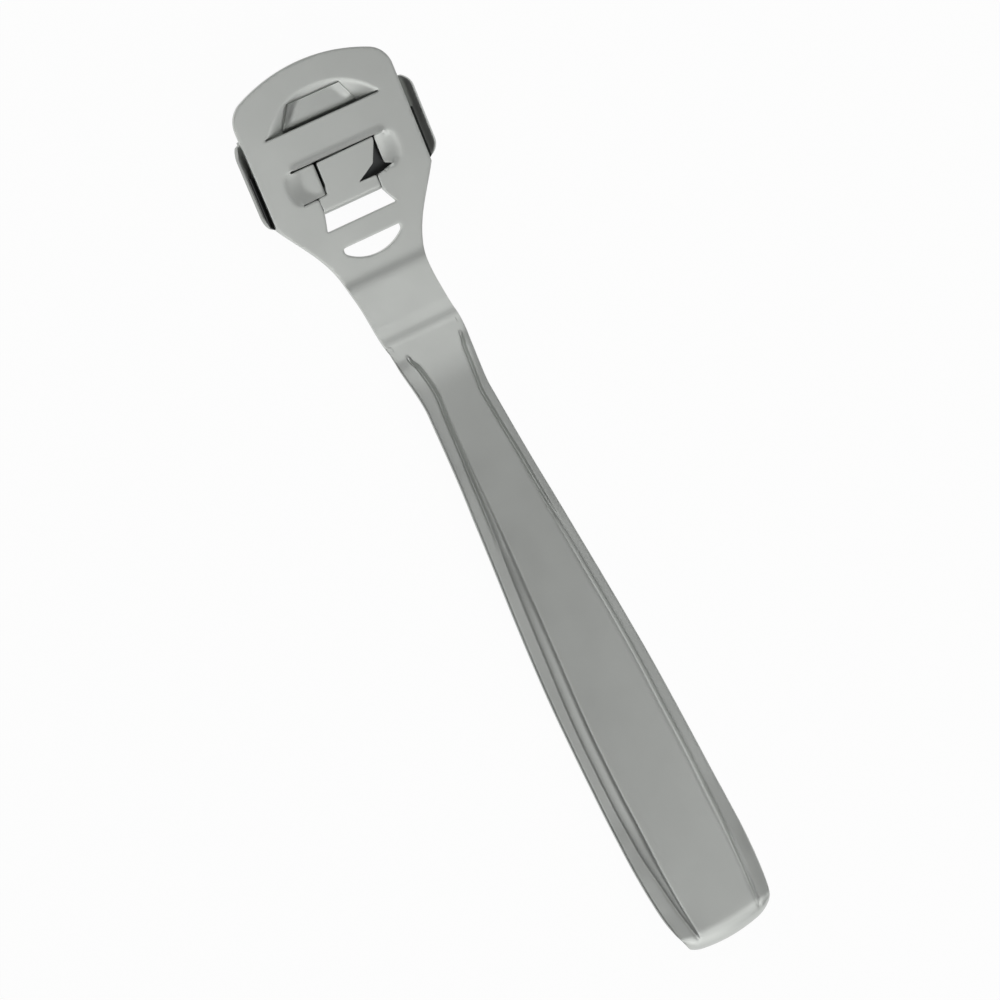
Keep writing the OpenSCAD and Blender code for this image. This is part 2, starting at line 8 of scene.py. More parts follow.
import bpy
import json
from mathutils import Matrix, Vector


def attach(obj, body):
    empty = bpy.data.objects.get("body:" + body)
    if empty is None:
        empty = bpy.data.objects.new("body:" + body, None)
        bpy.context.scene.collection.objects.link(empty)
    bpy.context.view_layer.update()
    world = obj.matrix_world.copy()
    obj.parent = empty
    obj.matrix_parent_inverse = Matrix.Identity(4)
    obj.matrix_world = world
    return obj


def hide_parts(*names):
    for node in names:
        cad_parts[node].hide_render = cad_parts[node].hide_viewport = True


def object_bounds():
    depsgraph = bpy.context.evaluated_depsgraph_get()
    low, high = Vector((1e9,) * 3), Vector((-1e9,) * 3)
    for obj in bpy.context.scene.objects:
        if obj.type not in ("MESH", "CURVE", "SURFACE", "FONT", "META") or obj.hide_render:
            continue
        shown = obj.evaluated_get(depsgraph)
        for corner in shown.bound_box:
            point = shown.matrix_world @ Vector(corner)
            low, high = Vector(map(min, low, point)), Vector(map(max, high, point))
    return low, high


bl_info = {
    "name": "Stamped Callus Shaver",
    "version": (1, 0, 0),
    "blender": (4, 5, 0),
    "location": "View3D > Sidebar > Shaver",
    "description": "Builds the sheet-steel handle, sole plate, blade and latch, and a pale stage",
    "category": "Object",
}

import json
import math

import bmesh
import bpy
import numpy as np
from bpy.props import FloatProperty, FloatVectorProperty, IntProperty, PointerProperty
from mathutils import Matrix, Vector, geometry

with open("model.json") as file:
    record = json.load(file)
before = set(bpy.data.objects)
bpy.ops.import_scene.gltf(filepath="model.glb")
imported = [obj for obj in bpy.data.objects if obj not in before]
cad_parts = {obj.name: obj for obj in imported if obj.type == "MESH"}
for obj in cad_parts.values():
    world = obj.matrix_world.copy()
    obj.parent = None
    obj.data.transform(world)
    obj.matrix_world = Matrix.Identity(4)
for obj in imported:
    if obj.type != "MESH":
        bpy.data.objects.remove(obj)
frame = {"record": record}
CAD_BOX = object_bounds()
MM = 0.001


# Sizes and finishes that a user would change

def length(name, description, millimetres):
    """A length property, with its default given in millimetres."""
    return FloatProperty(name=name, description=description, default=millimetres * MM,
                         min=0.0, unit="LENGTH", precision=5)


def angle(name, description, degrees):
    """An angle property, with its default given in degrees."""
    return FloatProperty(name=name, description=description, default=math.radians(degrees),
                         subtype="ANGLE")


def colour(name, description, value):
    """A colour property."""
    return FloatVectorProperty(name=name, description=description, default=value,
                               subtype="COLOR", min=0.0, max=1.0)


class HeadSettings(bpy.types.PropertyGroup):
    """Sizes of the flat head with its slits, scoops and windows."""
    sheet: length("Sheet", "Thickness of the handle's steel sheet", 0.9)
    width: length("Width", "Width of the head plate", 29.6)
    side_end: length("Side end", "Length of the straight sides, from the nose", 25.2)
    flank: length("Flank", "Length over which the head narrows to the neck", 18.9)
    nose_x: length("Nose place", "How far the nose stands behind the frame's origin", 1.0)
    nose_radius: length("Nose radius", "Radius of the nose arc", 30.0)
    nose_corner: length("Nose corner", "Radius where the nose meets the sides", 4.5)
    slit_x: length("Slit place", "Distance from the nose to the front slit", 10.6)
    slit_length: length("Slit length", "Length of the front slit", 21.4)
    slit_width: length("Slit width", "Width of the front slit", 0.4)
    strap: length("Strap", "Width of the strap between the slits", 6.1)
    scoop: length("Front scoop", "Length of the front scoop, up to the slit", 5.1)
    scoop_depth: length("Front scoop depth", "Depth of the front scoop at the slit", 2.0)
    ear: length("Rear scoops", "Length of the rear scoops", 6.0)
    ears_width: length("Rear scoops' width", "Width across both rear scoops", 21.0)
    ear_depth: length("Rear scoops' depth", "Depth of the rear scoops", 0.7)
    window_front: length("Window front", "Front width of the open window", 12.3)
    window_rear: length("Window rear", "Rear width of the open window", 13.8)
    window_x: length("Window place", "Distance from the nose to the window's rear edge", 29.0)
    bar: length("Bar", "Width of the bar between the two windows", 3.5)
    moon_width: length("Half-moon width", "Width of the half-moon window", 11.0)
    moon_length: length("Half-moon length", "Length of the half-moon window", 3.1)


class HandleSettings(bpy.types.PropertyGroup):
    """Sizes of the neck and the hat-section handle."""
    end_x: length("End", "Distance from the nose to the end of the handle", 158.2)
    neck_rise: angle("Neck rise", "Slope of the neck", 28.0)
    rise: angle("Handle rise", "Slope of the handle", 17.4)
    neck: length("Neck width", "Width of the neck", 14.1)
    waist: length("Waist width", "Width of the handle at its waist", 12.1)
    palm: length("Palm width", "Width of the handle at its widest", 20.6)
    panel: length("Panel height", "Height of the raised panel over the flanges", 2.2)
    side: length("Side", "Greatest width of wall and flange beside the panel", 3.5)
    wall: length("Wall", "Greatest width of the sloping wall beside the panel", 1.45)
    groove: length("Groove", "Greatest depth of the groove along the panel's narrow part", 0.5)
    flange_drop: length("Flange drop", "How far the flanges fall outwards near both ends", 1.2)
    rim: length("Rim", "Length of the rim that is folded under each flange", 1.9)
    step: length("Cross step", "Height of the cross step in the neck", 0.6)
    end_radius: length("End radius", "Radius of the turned-down end", 3.6)
    rows: IntProperty(name="Rows", description="Rows of faces along the handle",
                      default=260, min=20, max=800)
    columns: IntProperty(name="Columns", description="Rows of faces across the handle",
                         default=92, min=20, max=400)


class ClampSettings(bpy.types.PropertyGroup):
    """Sizes of the sole plate, its hook, the blade and the latch."""
    arch: length("Arch radius", "Radius of the arch of the blade", 31.0)
    sole: length("Sole sheet", "Thickness of the sole plate", 0.9)
    sole_width: length("Wings' width", "Width across the wings", 33.6)
    wing: length("Wing length", "Length of the wings along the tool", 15.1)
    sole_rear: length("Sole rear", "Distance from the nose to the sole plate's rear edge", 24.6)
    wing_corner: length("Wing corner", "Radius of the wings' corners", 3.0)
    blade: length("Blade sheet", "Thickness of the blade", 0.4)
    blade_width: length("Blade width", "Width of the blade along the tool", 9.6)
    blade_span: length("Blade span", "Width across the blade's ends", 30.8)
    reveal: length("Edge reveal", "How far the cutting edge stands behind the sole plate", 0.6)
    bevel: length("Bevel", "Length of the ground bevel", 1.6)
    hook: length("Hook width", "Width of the hook where it passes the slit", 13.8)
    hook_tip: length("Hook tip", "Width of the hook at its front end", 9.6)
    latch: length("Latch strip", "Thickness of the latch's spring strip", 0.6)


class FinishSettings(bpy.types.PropertyGroup):
    """Colours of the steel pieces. The sole plate's and the blade's are darkened as painted shade.
    """
    steel: colour("Steel", "Colour of the satin handle sheet", (0.575, 0.592, 0.569))
    # Darker than the handle's steel as painted shade: the wings lie in the shadow under the head.
    sole_steel: colour("Sole steel", "Colour of the sole plate", (0.42, 0.433, 0.416))
    # Near black as painted shade, so that the gaps and openings where the blade shows through look
    # black. The blade is not blued.
    blade_steel: colour("Blade steel", "Colour of the blued blade", (0.05, 0.052, 0.052))
    latch_steel: colour("Latch steel", "Colour of the latch", (0.575, 0.592, 0.569))
    roughness: FloatProperty(name="Roughness", description="Roughness of the satin finish",
                             default=0.42, min=0.0, max=1.0)
    sole_roughness: FloatProperty(name="Sole roughness",
                                  description="Roughness of the brighter sole plate",
                                  default=0.32, min=0.0, max=1.0)


SETTINGS = {
    "shaver_head": HeadSettings,
    "shaver_handle": HandleSettings,
    "shaver_clamp": ClampSettings,
    "shaver_finish": FinishSettings,
}


# Places worked out from the frame

# Where the mount's flat face has its middle, from the nose
STRAP_MIDDLE = 13.8 * MM


def rest_matrix():
    """Turns the frame of the head to where the tool lies, from the flat face on its strap."""
    mount = frame["record"]["mounts"][0]
    normal = Vector(mount["axis"])
    tilt = math.atan2(-normal.x, normal.z)
    turn = Matrix.Rotation(math.pi, 4, "Z") @ Matrix.Rotation(tilt, 4, "Y")
    on_strap = Vector((STRAP_MIDDLE, 0.0, 0.0))
    return Matrix.Translation(Vector(mount["pos_m"]) - turn @ on_strap) @ turn


TO_REST = rest_matrix()


# Curves shared by the pieces

# Share of an edge that the rounding of one corner may take
CORNER_SHARE = 0.45


def arc(centre, radius, start, end, steps):
    """Points of a circular arc, angles in degrees."""
    angles = np.radians(np.linspace(start, end, steps + 1))
    return [(centre[0] + radius * math.cos(a), centre[1] + radius * math.sin(a)) for a in angles]


def ease(u):
    """Smooth step from 0 to 1."""
    u = np.clip(u, 0.0, 1.0)
    return u * u * (3.0 - 2.0 * u)


def ease_area(u):
    """Area under the smooth step."""
    c = np.clip(u, 0.0, 1.0)
    return c ** 3 - c ** 4 / 2.0 + np.maximum(u - 1.0, 0.0)


def soft_floor(depth, blend):
    """Depth where it is positive and 0 elsewhere, with a rounded change between."""
    rounded_change = (depth + blend) ** 2 / (4.0 * blend)
    return np.where(depth > blend, depth, np.where(depth < -blend, 0.0, rounded_change))


def stretch(a, b, step):
    """Evenly spaced points from one point to just before the next."""
    n = max(1, math.ceil(math.dist(a, b) / step))
    return [(a[0] + (b[0] - a[0]) * i / n, a[1] + (b[1] - a[1]) * i / n) for i in range(n)]


def divided(loop, step):
    """The loop with its long edges divided."""
    return [p for a, b in zip(loop, loop[1:] + loop[:1]) for p in stretch(a, b, step)]


def rounded(loop, radius, steps=4):
    """The loop with its corners rounded, less where an edge is short."""
    points = []
    count = len(loop)
    for i in range(count):
        a, b, c = (Vector(loop[(i + k) % count]) for k in (-1, 0, 1))
        back, on = (a - b), (c - b)
        cut = min(radius, CORNER_SHARE * back.length, CORNER_SHARE * on.length)
        start, end = b + back.normalized() * cut, b + on.normalized() * cut
        for k in range(steps + 1):
            u = k / steps
            p = start * (1 - u) ** 2 + b * (2 * u * (1 - u)) + end * u * u
            points.append((p.x, p.y))
    return points


# Where the flat head turns into the rising neck

MOON_MARGIN = 1.0 * MM
FLAT_RUN = 0.36 * MM
BEND1_LENGTH = 4.0 * MM


def bend1_x(head):
    """Where the neck starts to rise, just behind the half-moon window."""
    return head.window_x + head.bar + head.moon_length + MOON_MARGIN + FLAT_RUN


def neck_x(head):
    """Distance from the nose to where the flanks end."""
    return head.side_end + head.flank


def neck_height(x, head, handle):
    """Height of the neck's upper face ahead of the cross step."""
    u = (x - bend1_x(head)) / BEND1_LENGTH
    return math.tan(handle.neck_rise) * BEND1_LENGTH * ease_area(u)


# Meshes

# Height of an even triangle, as a share of its side
TRIANGLE_HEIGHT = math.sqrt(0.75)
# Gap between the grid's points and a border, as a share of the grid's step
BORDER_GAP = 0.6
# Border points that are measured against the grid at a time
BORDER_CHUNK = 64
# Points nearer than this, in millimetres, become one point of the triangulation
SAME_POINT = 1e-5
# Smallest area of a triangle, as a share of the step's square
SLIVER_SHARE = 1e-3
WELD_DISTANCE = 0.004 * MM
BEVEL_ANGLE = math.radians(50.0)
SHARP_ANGLE = math.radians(38.0)


def inside(points, loop):
    """Which points lie inside a closed loop."""
    loop = np.asarray(loop)
    nxt = np.roll(loop, -1, axis=0)
    x, y = points[:, 0:1], points[:, 1:2]
    crosses = (loop[:, 1] > y) != (nxt[:, 1] > y)
    rise = np.where(nxt[:, 1] == loop[:, 1], 1.0, nxt[:, 1] - loop[:, 1])
    at = loop[:, 0] + (y - loop[:, 1]) * (nxt[:, 0] - loop[:, 0]) / rise
    return (crosses & (x < at)).sum(axis=1) % 2 == 1


def on_sheet(points, outline, holes):
    """Which points lie inside the outline and outside its holes."""
    keep = inside(points, outline)
    for hole in holes:
        keep &= ~inside(points, hole)
    return keep


def grid_points(outline, holes, step):
    """Points of an even triangular grid on the sheet, clear of its borders."""
    border = np.array([p for loop in [outline] + holes for p in loop])
    low, high = border.min(0), border.max(0)
    rows = np.arange(low[0] + step / 2, high[0], step * TRIANGLE_HEIGHT)
    points = np.array([(x, y + (i % 2) * step / 2) for i, x in enumerate(rows)
                       for y in np.arange(low[1], high[1], step)])
    points = points[on_sheet(points, outline, holes)]
    near = np.full(len(points), np.inf)
    for chunk in np.array_split(border, max(1, len(border) // BORDER_CHUNK)):
        gap = np.linalg.norm(points[:, None, :] - chunk[None, :, :], axis=2).min(axis=1)
        near = np.minimum(near, gap)
    return points[near > BORDER_GAP * step]


def plan_triangles(outline, holes, step):
    """Even triangles inside an outline and outside its holes: plan points and triangles."""
    edges, border = [], []
    for loop in [outline] + holes:
        start, n = len(border), len(loop)
        edges += [(start + i, start + (i + 1) % n) for i in range(n)]
        border += loop
    plan = np.concatenate([np.array(border), grid_points(outline, holes, step)])
    per_metre = 1.0 / MM
    verts = [Vector((x * per_metre, y * per_metre)) for x, y in plan]
    made, _, faces, _, _, _ = geometry.delaunay_2d_cdt(verts, edges, [], 0, SAME_POINT)
    points = np.array([(v.x, v.y) for v in made]) * MM
    triangles = np.array(faces)
    triangles = triangles[on_sheet(points[triangles].mean(axis=1), outline, holes)]
    a, b, c = (points[triangles[:, i]] for i in range(3))
    areas = np.cross(b - a, c - a)
    triangles[areas < 0] = triangles[areas < 0][:, ::-1]
    return points, triangles[np.abs(areas) > SLIVER_SHARE * step ** 2]


def mesh_object(name, points, faces):
    """An object in the scene with a new mesh of these points and faces."""
    mesh = bpy.data.meshes.new(name)
    mesh.from_pydata([tuple(p) for p in points], [], [tuple(int(i) for i in f) for f in faces])
    obj = bpy.data.objects.new(name, mesh)
    bpy.context.collection.objects.link(obj)
    return obj


def join(parts, name):
    """Several meshes as one object."""
    whole = bmesh.new()
    for part in parts:
        whole.from_mesh(part.data)
        bpy.data.objects.remove(part)
    obj = mesh_object(name, [], [])
    whole.to_mesh(obj.data)
    whole.free()
    return obj


def clean(obj):
    """Welds doubles and drops loose points."""
    mesh = bmesh.new()
    mesh.from_mesh(obj.data)
    bmesh.ops.remove_doubles(mesh, verts=mesh.verts, dist=WELD_DISTANCE)
    loose = [v for v in mesh.verts if not v.link_faces]
    bmesh.ops.delete(mesh, geom=loose, context="VERTS")
    mesh.to_mesh(obj.data)
    mesh.free()


def thicken(obj, thickness, edge=0.0):
    """Gives a sheet its thickness below its upper face, and small rounded edges."""
    solid = obj.modifiers.new("Thickness", "SOLIDIFY")
    solid.thickness = thickness
    solid.offset = -1.0
    solid.use_even_offset = False
    if edge > 0.0:
        bevel = obj.modifiers.new("Edges", "BEVEL")
        bevel.width = edge
        bevel.segments = 2
        bevel.limit_method = "ANGLE"
        bevel.angle_limit = BEVEL_ANGLE
    bake_modifiers(obj)


def bake_modifiers(obj):
    """Replaces the object's mesh by what its modifiers make, and removes them."""
    bpy.context.view_layer.update()
    evaluated = obj.evaluated_get(bpy.context.evaluated_depsgraph_get())
    made = bpy.data.meshes.new_from_object(evaluated)
    obj.modifiers.clear()
    obj.data = made


def finish_piece(obj, material, body, node):
    """Places a piece at rest, gives it its material and ties it to the frame."""
    obj.data.transform(TO_REST)
    obj.data.polygons.foreach_set("use_smooth", [True] * len(obj.data.polygons))
    obj.data.set_sharp_from_angle(angle=SHARP_ANGLE)
    obj.data.materials.clear()
    obj.data.materials.append(material)
    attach(obj, body)
    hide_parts(node)


# Geometry Nodes: sums, and what every tree begins and ends with

class Sums:
    """Adds number nodes to a tree and joins them up."""

    def __init__(self, tree):
        self.tree = tree

    def feed(self, socket, value):
        """Links a socket to another node, or sets its number."""
        if isinstance(value, bpy.types.NodeSocket):
            self.tree.links.new(value, socket)
        else:
            socket.default_value = value

    def op(self, operation, *values):
        """Result of one Math node."""
        node = self.tree.nodes.new("ShaderNodeMath")
        node.operation = operation
        for socket, value in zip(node.inputs, values):
            self.feed(socket, value)
        return node.outputs[0]

    def add(self, *values):
        """Sum of all the values."""
        total = values[0]
        for value in values[1:]:
            total = self.op("ADD", total, value)
        return total

    def sub(self, a, b):
        """First value less the second."""
        return self.op("SUBTRACT", a, b)

    def mul(self, *values):
        """Product of all the values."""
        product = values[0]
        for value in values[1:]:
            product = self.op("MULTIPLY", product, value)
        return product

    def div(self, a, b):
        """First value over the second."""
        return self.op("DIVIDE", a, b)

    def ramp(self, value, start, end, low=0.0, high=1.0, smooth=False):
        """A value that goes from low to high between two places, and stays there beyond."""
        node = self.tree.nodes.new("ShaderNodeMapRange")
        node.interpolation_type = "SMOOTHSTEP" if smooth else "LINEAR"
        node.clamp = True
        for socket, number in zip(node.inputs, (value, start, end, low, high)):
            self.feed(socket, number)
        return node.outputs[0]

    def table(self, value, rows):
        """A smooth curve through a table of distances in millimetres and shares."""
        node = self.tree.nodes.new("ShaderNodeFloatCurve")
        start, end = rows[0][0], rows[-1][0]
        track = node.mapping.curves[0]
        places = [((x - start) / (end - start), share) for x, share in rows]
        for place in places[1:-1]:
            track.points.new(*place)
        track.points[0].location = places[0]
        track.points[-1].location = places[-1]
        for point in track.points:
            point.handle_type = "AUTO_CLAMPED"
        node.mapping.update()
        self.feed(node.inputs["Value"], self.ramp(value, start * MM, end * MM))
        return node.outputs[0]

    def vector(self, x=0.0, y=0.0, z=0.0):
        """A vector of three numbers."""
        node = self.tree.nodes.new("ShaderNodeCombineXYZ")
        for socket, value in zip(node.inputs, (x, y, z)):
            self.feed(socket, value)
        return node.outputs[0]

    def position(self):
        """The X, Y and Z of each point's place."""
        place = self.tree.nodes.new("GeometryNodeInputPosition")
        parts = self.tree.nodes.new("ShaderNodeSeparateXYZ")
        self.feed(parts.inputs[0], place.outputs[0])
        return parts.outputs

    def moved(self, mesh, place):
        """The mesh with each point put at a new place."""
        node = self.tree.nodes.new("GeometryNodeSetPosition")
        self.feed(node.inputs["Geometry"], mesh)
        self.feed(node.inputs["Position"], place)
        return node.outputs[0]


def new_tree(name, numbers, counts=()):
    """A Geometry Nodes tree with these inputs and a material: the tree and its inputs."""
    tree = bpy.data.node_groups.new(name, "GeometryNodeTree")
    face = tree.interface
    face.new_socket("Geometry", in_out="OUTPUT", socket_type="NodeSocketGeometry")
    for label in numbers:
        face.new_socket(label, in_out="INPUT", socket_type="NodeSocketFloat")
    for label in counts:
        face.new_socket(label, in_out="INPUT", socket_type="NodeSocketInt")
    face.new_socket("Material", in_out="INPUT", socket_type="NodeSocketMaterial")
    return tree, tree.nodes.new("NodeGroupInput").outputs


def end_tree(tree, given, made):
    """Ends a tree: what it made becomes plain geometry with the given material."""
    realize = tree.nodes.new("GeometryNodeRealizeInstances")
    paint = tree.nodes.new("GeometryNodeSetMaterial")
    result = tree.nodes.new("NodeGroupOutput")
    tree.links.new(made, realize.inputs[0])
    tree.links.new(realize.outputs[0], paint.inputs["Geometry"])
    tree.links.new(given["Material"], paint.inputs["Material"])
    tree.links.new(paint.outputs[0], result.inputs[0])


def grown(name, tree, values):
    """The plain mesh that a tree makes from these inputs, as an object."""
    obj = mesh_object(name, [], [])
    modifier = obj.modifiers.new(tree.name, "NODES")
    modifier.node_group = tree
    keys = {item.name: item.identifier for item in tree.interface.items_tree
            if item.in_out == "INPUT"}
    for label, value in values.items():
        modifier[keys[label]] = value
    bake_modifiers(obj)
    return obj


# The neck and handle: one grid of faces whose points follow a rule

# Tables along the handle: distance from the nose in millimetres, and a share
PALM_SHARES = ((61.5, 0.0), (73.0, 0.155), (81.4, 0.32), (89.8, 0.485), (97.5, 0.64),
               (105.9, 0.785), (113.5, 0.885), (122.0, 0.945), (129.6, 0.98), (138.0, 1.0))
SIDE_SHARES = ((50.0, 0.55), (53.0, 0.61), (55.0, 0.75), (58.0, 0.76), (70.0, 0.71),
               (80.0, 0.79), (90.0, 0.86), (100.0, 0.91), (130.0, 0.95), (138.0, 1.0),
               (148.0, 0.97), (152.0, 0.94), (158.0, 0.70))
WALL_SHARES = ((50.0, 0.28), (58.0, 0.50), (66.0, 0.48), (75.0, 0.66), (90.0, 0.86),
               (100.0, 0.93), (120.0, 1.0), (134.0, 1.0), (142.0, 0.80), (148.0, 0.58),
               (158.0, 0.42))
PANEL_SHARES = ((52.4, 0.0), (55.0, 0.16), (60.0, 0.20), (70.0, 0.24), (80.0, 0.40),
                (90.0, 0.62), (100.0, 0.84), (110.0, 0.97), (120.0, 1.0), (130.0, 1.0),
                (137.0, 0.88), (144.0, 0.58), (150.0, 0.32), (154.0, 0.16), (156.5, 0.0))
GROOVE_SHARES = ((52.2, 0.0), (54.2, 2.2), (56.5, 3.0), (62.0, 2.4), (72.0, 1.5),
                 (84.0, 0.7), (96.0, 0.0), (140.0, 0.0), (147.0, 0.45), (153.0, 0.4), (156.5, 0.0))
DROP_SHARES = ((50.0, 0.0), (58.0, 0.15), (75.0, 0.12), (90.0, 0.0), (134.0, 0.0),
               (148.0, 0.15), (158.0, 0.3))
SKEW_SHARES = ((50.0, 0.26), (58.0, 0.24), (64.0, 0.10), (100.0, 0.10), (120.0, 0.0))
RIM_SHARES = ((49.5, 0.0), (60.0, 1.0), (150.0, 1.0), (156.0, 0.0))

# Cross step and second bend of the neck, and the waist
STEP_X = 47.8 * MM
STEP_LENGTH = 2.2 * MM
STEP_FOOT = 0.15 * MM
STEP_FOOT_LENGTH = 1.0 * MM
BEND2_X = 53.0 * MM
BEND2_LENGTH = 8.0 * MM
WAIST_X = 61.5 * MM

# How the outline and the end of the handle round off
END_ROUNDING = 18.2 * MM
END_NARROWING = 3.1 * MM
END_BULGE = 2.1 * MM
END_BULGE_LENGTH = 9.0 * MM

# Section: the panel's edge, and the shares of the wall that its two bends take
PANEL_DISH_SHARE = 1.0 / 22.0
SHOULDER = 0.55 * MM
SHOULDER_SHARE = 0.42
FOOT_SHARE = 0.16
GROOVE_START = 0.35
RIM_RADIUS = 0.45 * MM
RIM_TURN = math.radians(112.0)
# Share of its run at which the rim has its full turn
RIM_TURN_SHARE = 0.2

# Where each part of the section ends in the grid, from its middle at 0 to its border at 1
PANEL_COLUMNS = 0.34
WALL_COLUMNS = 0.62
FLANGE_COLUMNS = 0.76
RIM_BEND_COLUMNS = 0.90

HANDLE_INPUTS = ("Start", "Bend", "End", "Neck rise", "Handle rise", "Neck width", "Waist width",
                 "Palm width", "Panel height", "Side", "Wall", "Groove", "Flange drop", "Rim",
                 "Cross step", "End radius")


def bend_area(s, x, start, run):
    """Area under a smooth step that starts at a place: a bend's height over its slope."""
    u = s.div(s.sub(x, start), run)
    c = s.ramp(u, 0.0, 1.0)
    cube = s.op("POWER", c, 3.0)
    beyond = s.op("MAXIMUM", s.sub(u, 1.0), 0.0)
    return s.add(s.sub(cube, s.mul(cube, c, 0.5)), beyond)


def middle_line(s, given, along):
    """The sheet's middle line: distance from the nose, place in x and z, and its lean."""
    # A straight run in plan, then the turned-down end as an arc
    end_radius = given["End radius"]
    run = s.sub(s.sub(given["End"], end_radius), given["Start"])
    travelled = s.mul(along, s.add(run, s.mul(end_radius, math.pi / 2)))
    x = s.add(given["Start"], s.op("MINIMUM", travelled, run))
    turn = s.div(s.op("MAXIMUM", s.sub(travelled, run), 0.0), end_radius)
    sin_turn = s.op("SINE", turn)
    reach = s.add(x, s.mul(end_radius, sin_turn))

    # Height and slope of the run: neck bend, cross step, handle bend
    slope1 = s.op("TANGENT", given["Neck rise"])
    drop = s.sub(slope1, s.op("TANGENT", given["Handle rise"]))
    step_u = s.ramp(x, STEP_X, STEP_X + STEP_LENGTH)
    step_share = s.ramp(x, STEP_X, STEP_X + STEP_LENGTH, smooth=True)
    height = s.add(
        s.mul(slope1, BEND1_LENGTH, bend_area(s, x, given["Bend"], BEND1_LENGTH)),
        s.mul(-BEND2_LENGTH, drop, bend_area(s, x, BEND2_X, BEND2_LENGTH)),
        s.mul(given["Cross step"], step_share),
        s.ramp(x, STEP_X - STEP_FOOT_LENGTH, STEP_X, 0.0, STEP_FOOT),
    )
    bend1_end = s.add(given["Bend"], BEND1_LENGTH)
    slope = s.add(
        s.mul(slope1, s.ramp(x, given["Bend"], bend1_end, smooth=True)),
        s.mul(-1.0, drop, s.ramp(x, BEND2_X, BEND2_X + BEND2_LENGTH, smooth=True)),
        s.mul(step_u, s.sub(1.0, step_u), 6.0 / STEP_LENGTH, given["Cross step"]),
    )
    lean = s.sub(s.op("ARCTANGENT", slope), turn)

    # Place on the run or on the end's arc
    fall = s.sub(1.0, s.op("COSINE", turn))
    sin_rise, cos_rise = s.op("SINE", given["Handle rise"]), s.op("COSINE", given["Handle rise"])
    arc_x = s.add(s.mul(sin_turn, cos_rise), s.mul(fall, sin_rise))
    arc_z = s.sub(s.mul(sin_turn, sin_rise), s.mul(fall, cos_rise))
    base_x = s.add(x, s.mul(end_radius, arc_x))
    base_z = s.add(height, s.mul(end_radius, arc_z))
    return reach, base_x, base_z, lean


def half_width(s, given, reach):
    """Half width of the outline: neck, waist, palm and rounded end."""
    neck_half, waist_half = s.mul(given["Neck width"], 0.5), s.mul(given["Waist width"], 0.5)
    waist = s.ramp(reach, STEP_X + STEP_LENGTH, WAIST_X, neck_half, waist_half, smooth=True)
    palm_gain = s.mul(s.sub(given["Palm width"], given["Waist width"]), 0.5,
                      s.table(reach, PALM_SHARES))
    end_u = s.ramp(reach, s.sub(given["End"], END_ROUNDING), given["End"])
    narrowing = s.sub(1.0, s.op("SQRT", s.sub(1.0, s.mul(end_u, end_u))))
    return s.sub(s.add(waist, palm_gain), s.mul(END_NARROWING, narrowing))


def wall_fall(s, wall_u):
    """Share of the panel's height that the wall has fallen: shoulder, even slope, foot."""
    steep = 1.0 / (1.0 - SHOULDER_SHARE / 2.0 - FOOT_SHARE / 2.0)
    first = s.op("POWER", s.op("MINIMUM", wall_u, SHOULDER_SHARE), 2.0)
    middle = s.op("MAXIMUM", s.sub(s.op("MINIMUM", wall_u, 1.0 - FOOT_SHARE), SHOULDER_SHARE), 0.0)
    last = s.op("POWER", s.ramp(wall_u, 1.0 - FOOT_SHARE, 1.0, FOOT_SHARE, 0.0), 2.0)
    return s.add(
        s.mul(first, steep / (2.0 * SHOULDER_SHARE)),
        s.mul(middle, steep),
        s.mul(s.sub(FOOT_SHARE ** 2, last), steep / (2.0 * FOOT_SHARE)),
    )


def hat_section(s, given, reach, across):
    """The section at a distance from the nose: place to the side, and depth under the panel."""
    aside = s.op("ABSOLUTE", across)
    half = half_width(s, given, reach)
    rim_share = s.table(reach, RIM_SHARES)
    rim_radius = s.mul(rim_share, RIM_RADIUS)
    rim_run = s.mul(rim_share, given["Rim"])
    rim_turn = s.ramp(rim_share, 0.0, RIM_TURN_SHARE, 0.0, RIM_TURN)
    panel_depth = s.mul(given["Panel height"], s.table(reach, PANEL_SHARES))
    drop_depth = s.mul(given["Flange drop"], s.table(reach, DROP_SHARES))
    groove_depth = s.mul(given["Groove"], s.table(reach, GROOVE_SHARES))
    skew = s.sub(1.0, s.mul(s.op("SIGN", across), s.table(reach, SKEW_SHARES)))
    shoulder = s.sub(half, s.mul(given["Side"], s.table(reach, SIDE_SHARES), skew))
    panel = s.sub(shoulder, SHOULDER)
    foot = s.add(shoulder, s.mul(given["Wall"], s.table(reach, WALL_SHARES)))
    flange_end = s.sub(half, rim_radius)

    # Across the sheet: panel, wall, flange, rounded edge and the rim folded under it
    panel_u = s.ramp(aside, 0.0, PANEL_COLUMNS)
    wall_u = s.ramp(aside, PANEL_COLUMNS, WALL_COLUMNS)
    flange_u = s.ramp(aside, WALL_COLUMNS, FLANGE_COLUMNS)
    bend = s.ramp(aside, FLANGE_COLUMNS, RIM_BEND_COLUMNS, 0.0, rim_turn)
    folded = s.mul(rim_run, s.ramp(aside, RIM_BEND_COLUMNS, 1.0))
    to_side = s.add(
        s.mul(panel, panel_u),
        s.mul(s.sub(foot, panel), wall_u),
        s.mul(s.sub(flange_end, foot), flange_u),
        s.mul(rim_radius, s.op("SINE", bend)),
        s.mul(folded, s.op("MINIMUM", s.op("COSINE", rim_turn), 0.0)),
    )
    dish = s.sub(1.0, s.op("POWER", panel_u, 2.0))
    groove_wave = s.op("SINE", s.mul(s.ramp(wall_u, GROOVE_START, 1.0), math.pi))
    depth = s.add(
        s.mul(panel_depth, wall_fall(s, wall_u)),
        s.mul(panel_depth, PANEL_DISH_SHARE, dish),
        s.mul(groove_depth, groove_wave),
        s.mul(drop_depth, flange_u, flange_u),
        s.mul(rim_radius, s.sub(1.0, s.op("COSINE", bend))),
        s.mul(folded, s.op("SINE", rim_turn)),
    )
    return to_side, depth


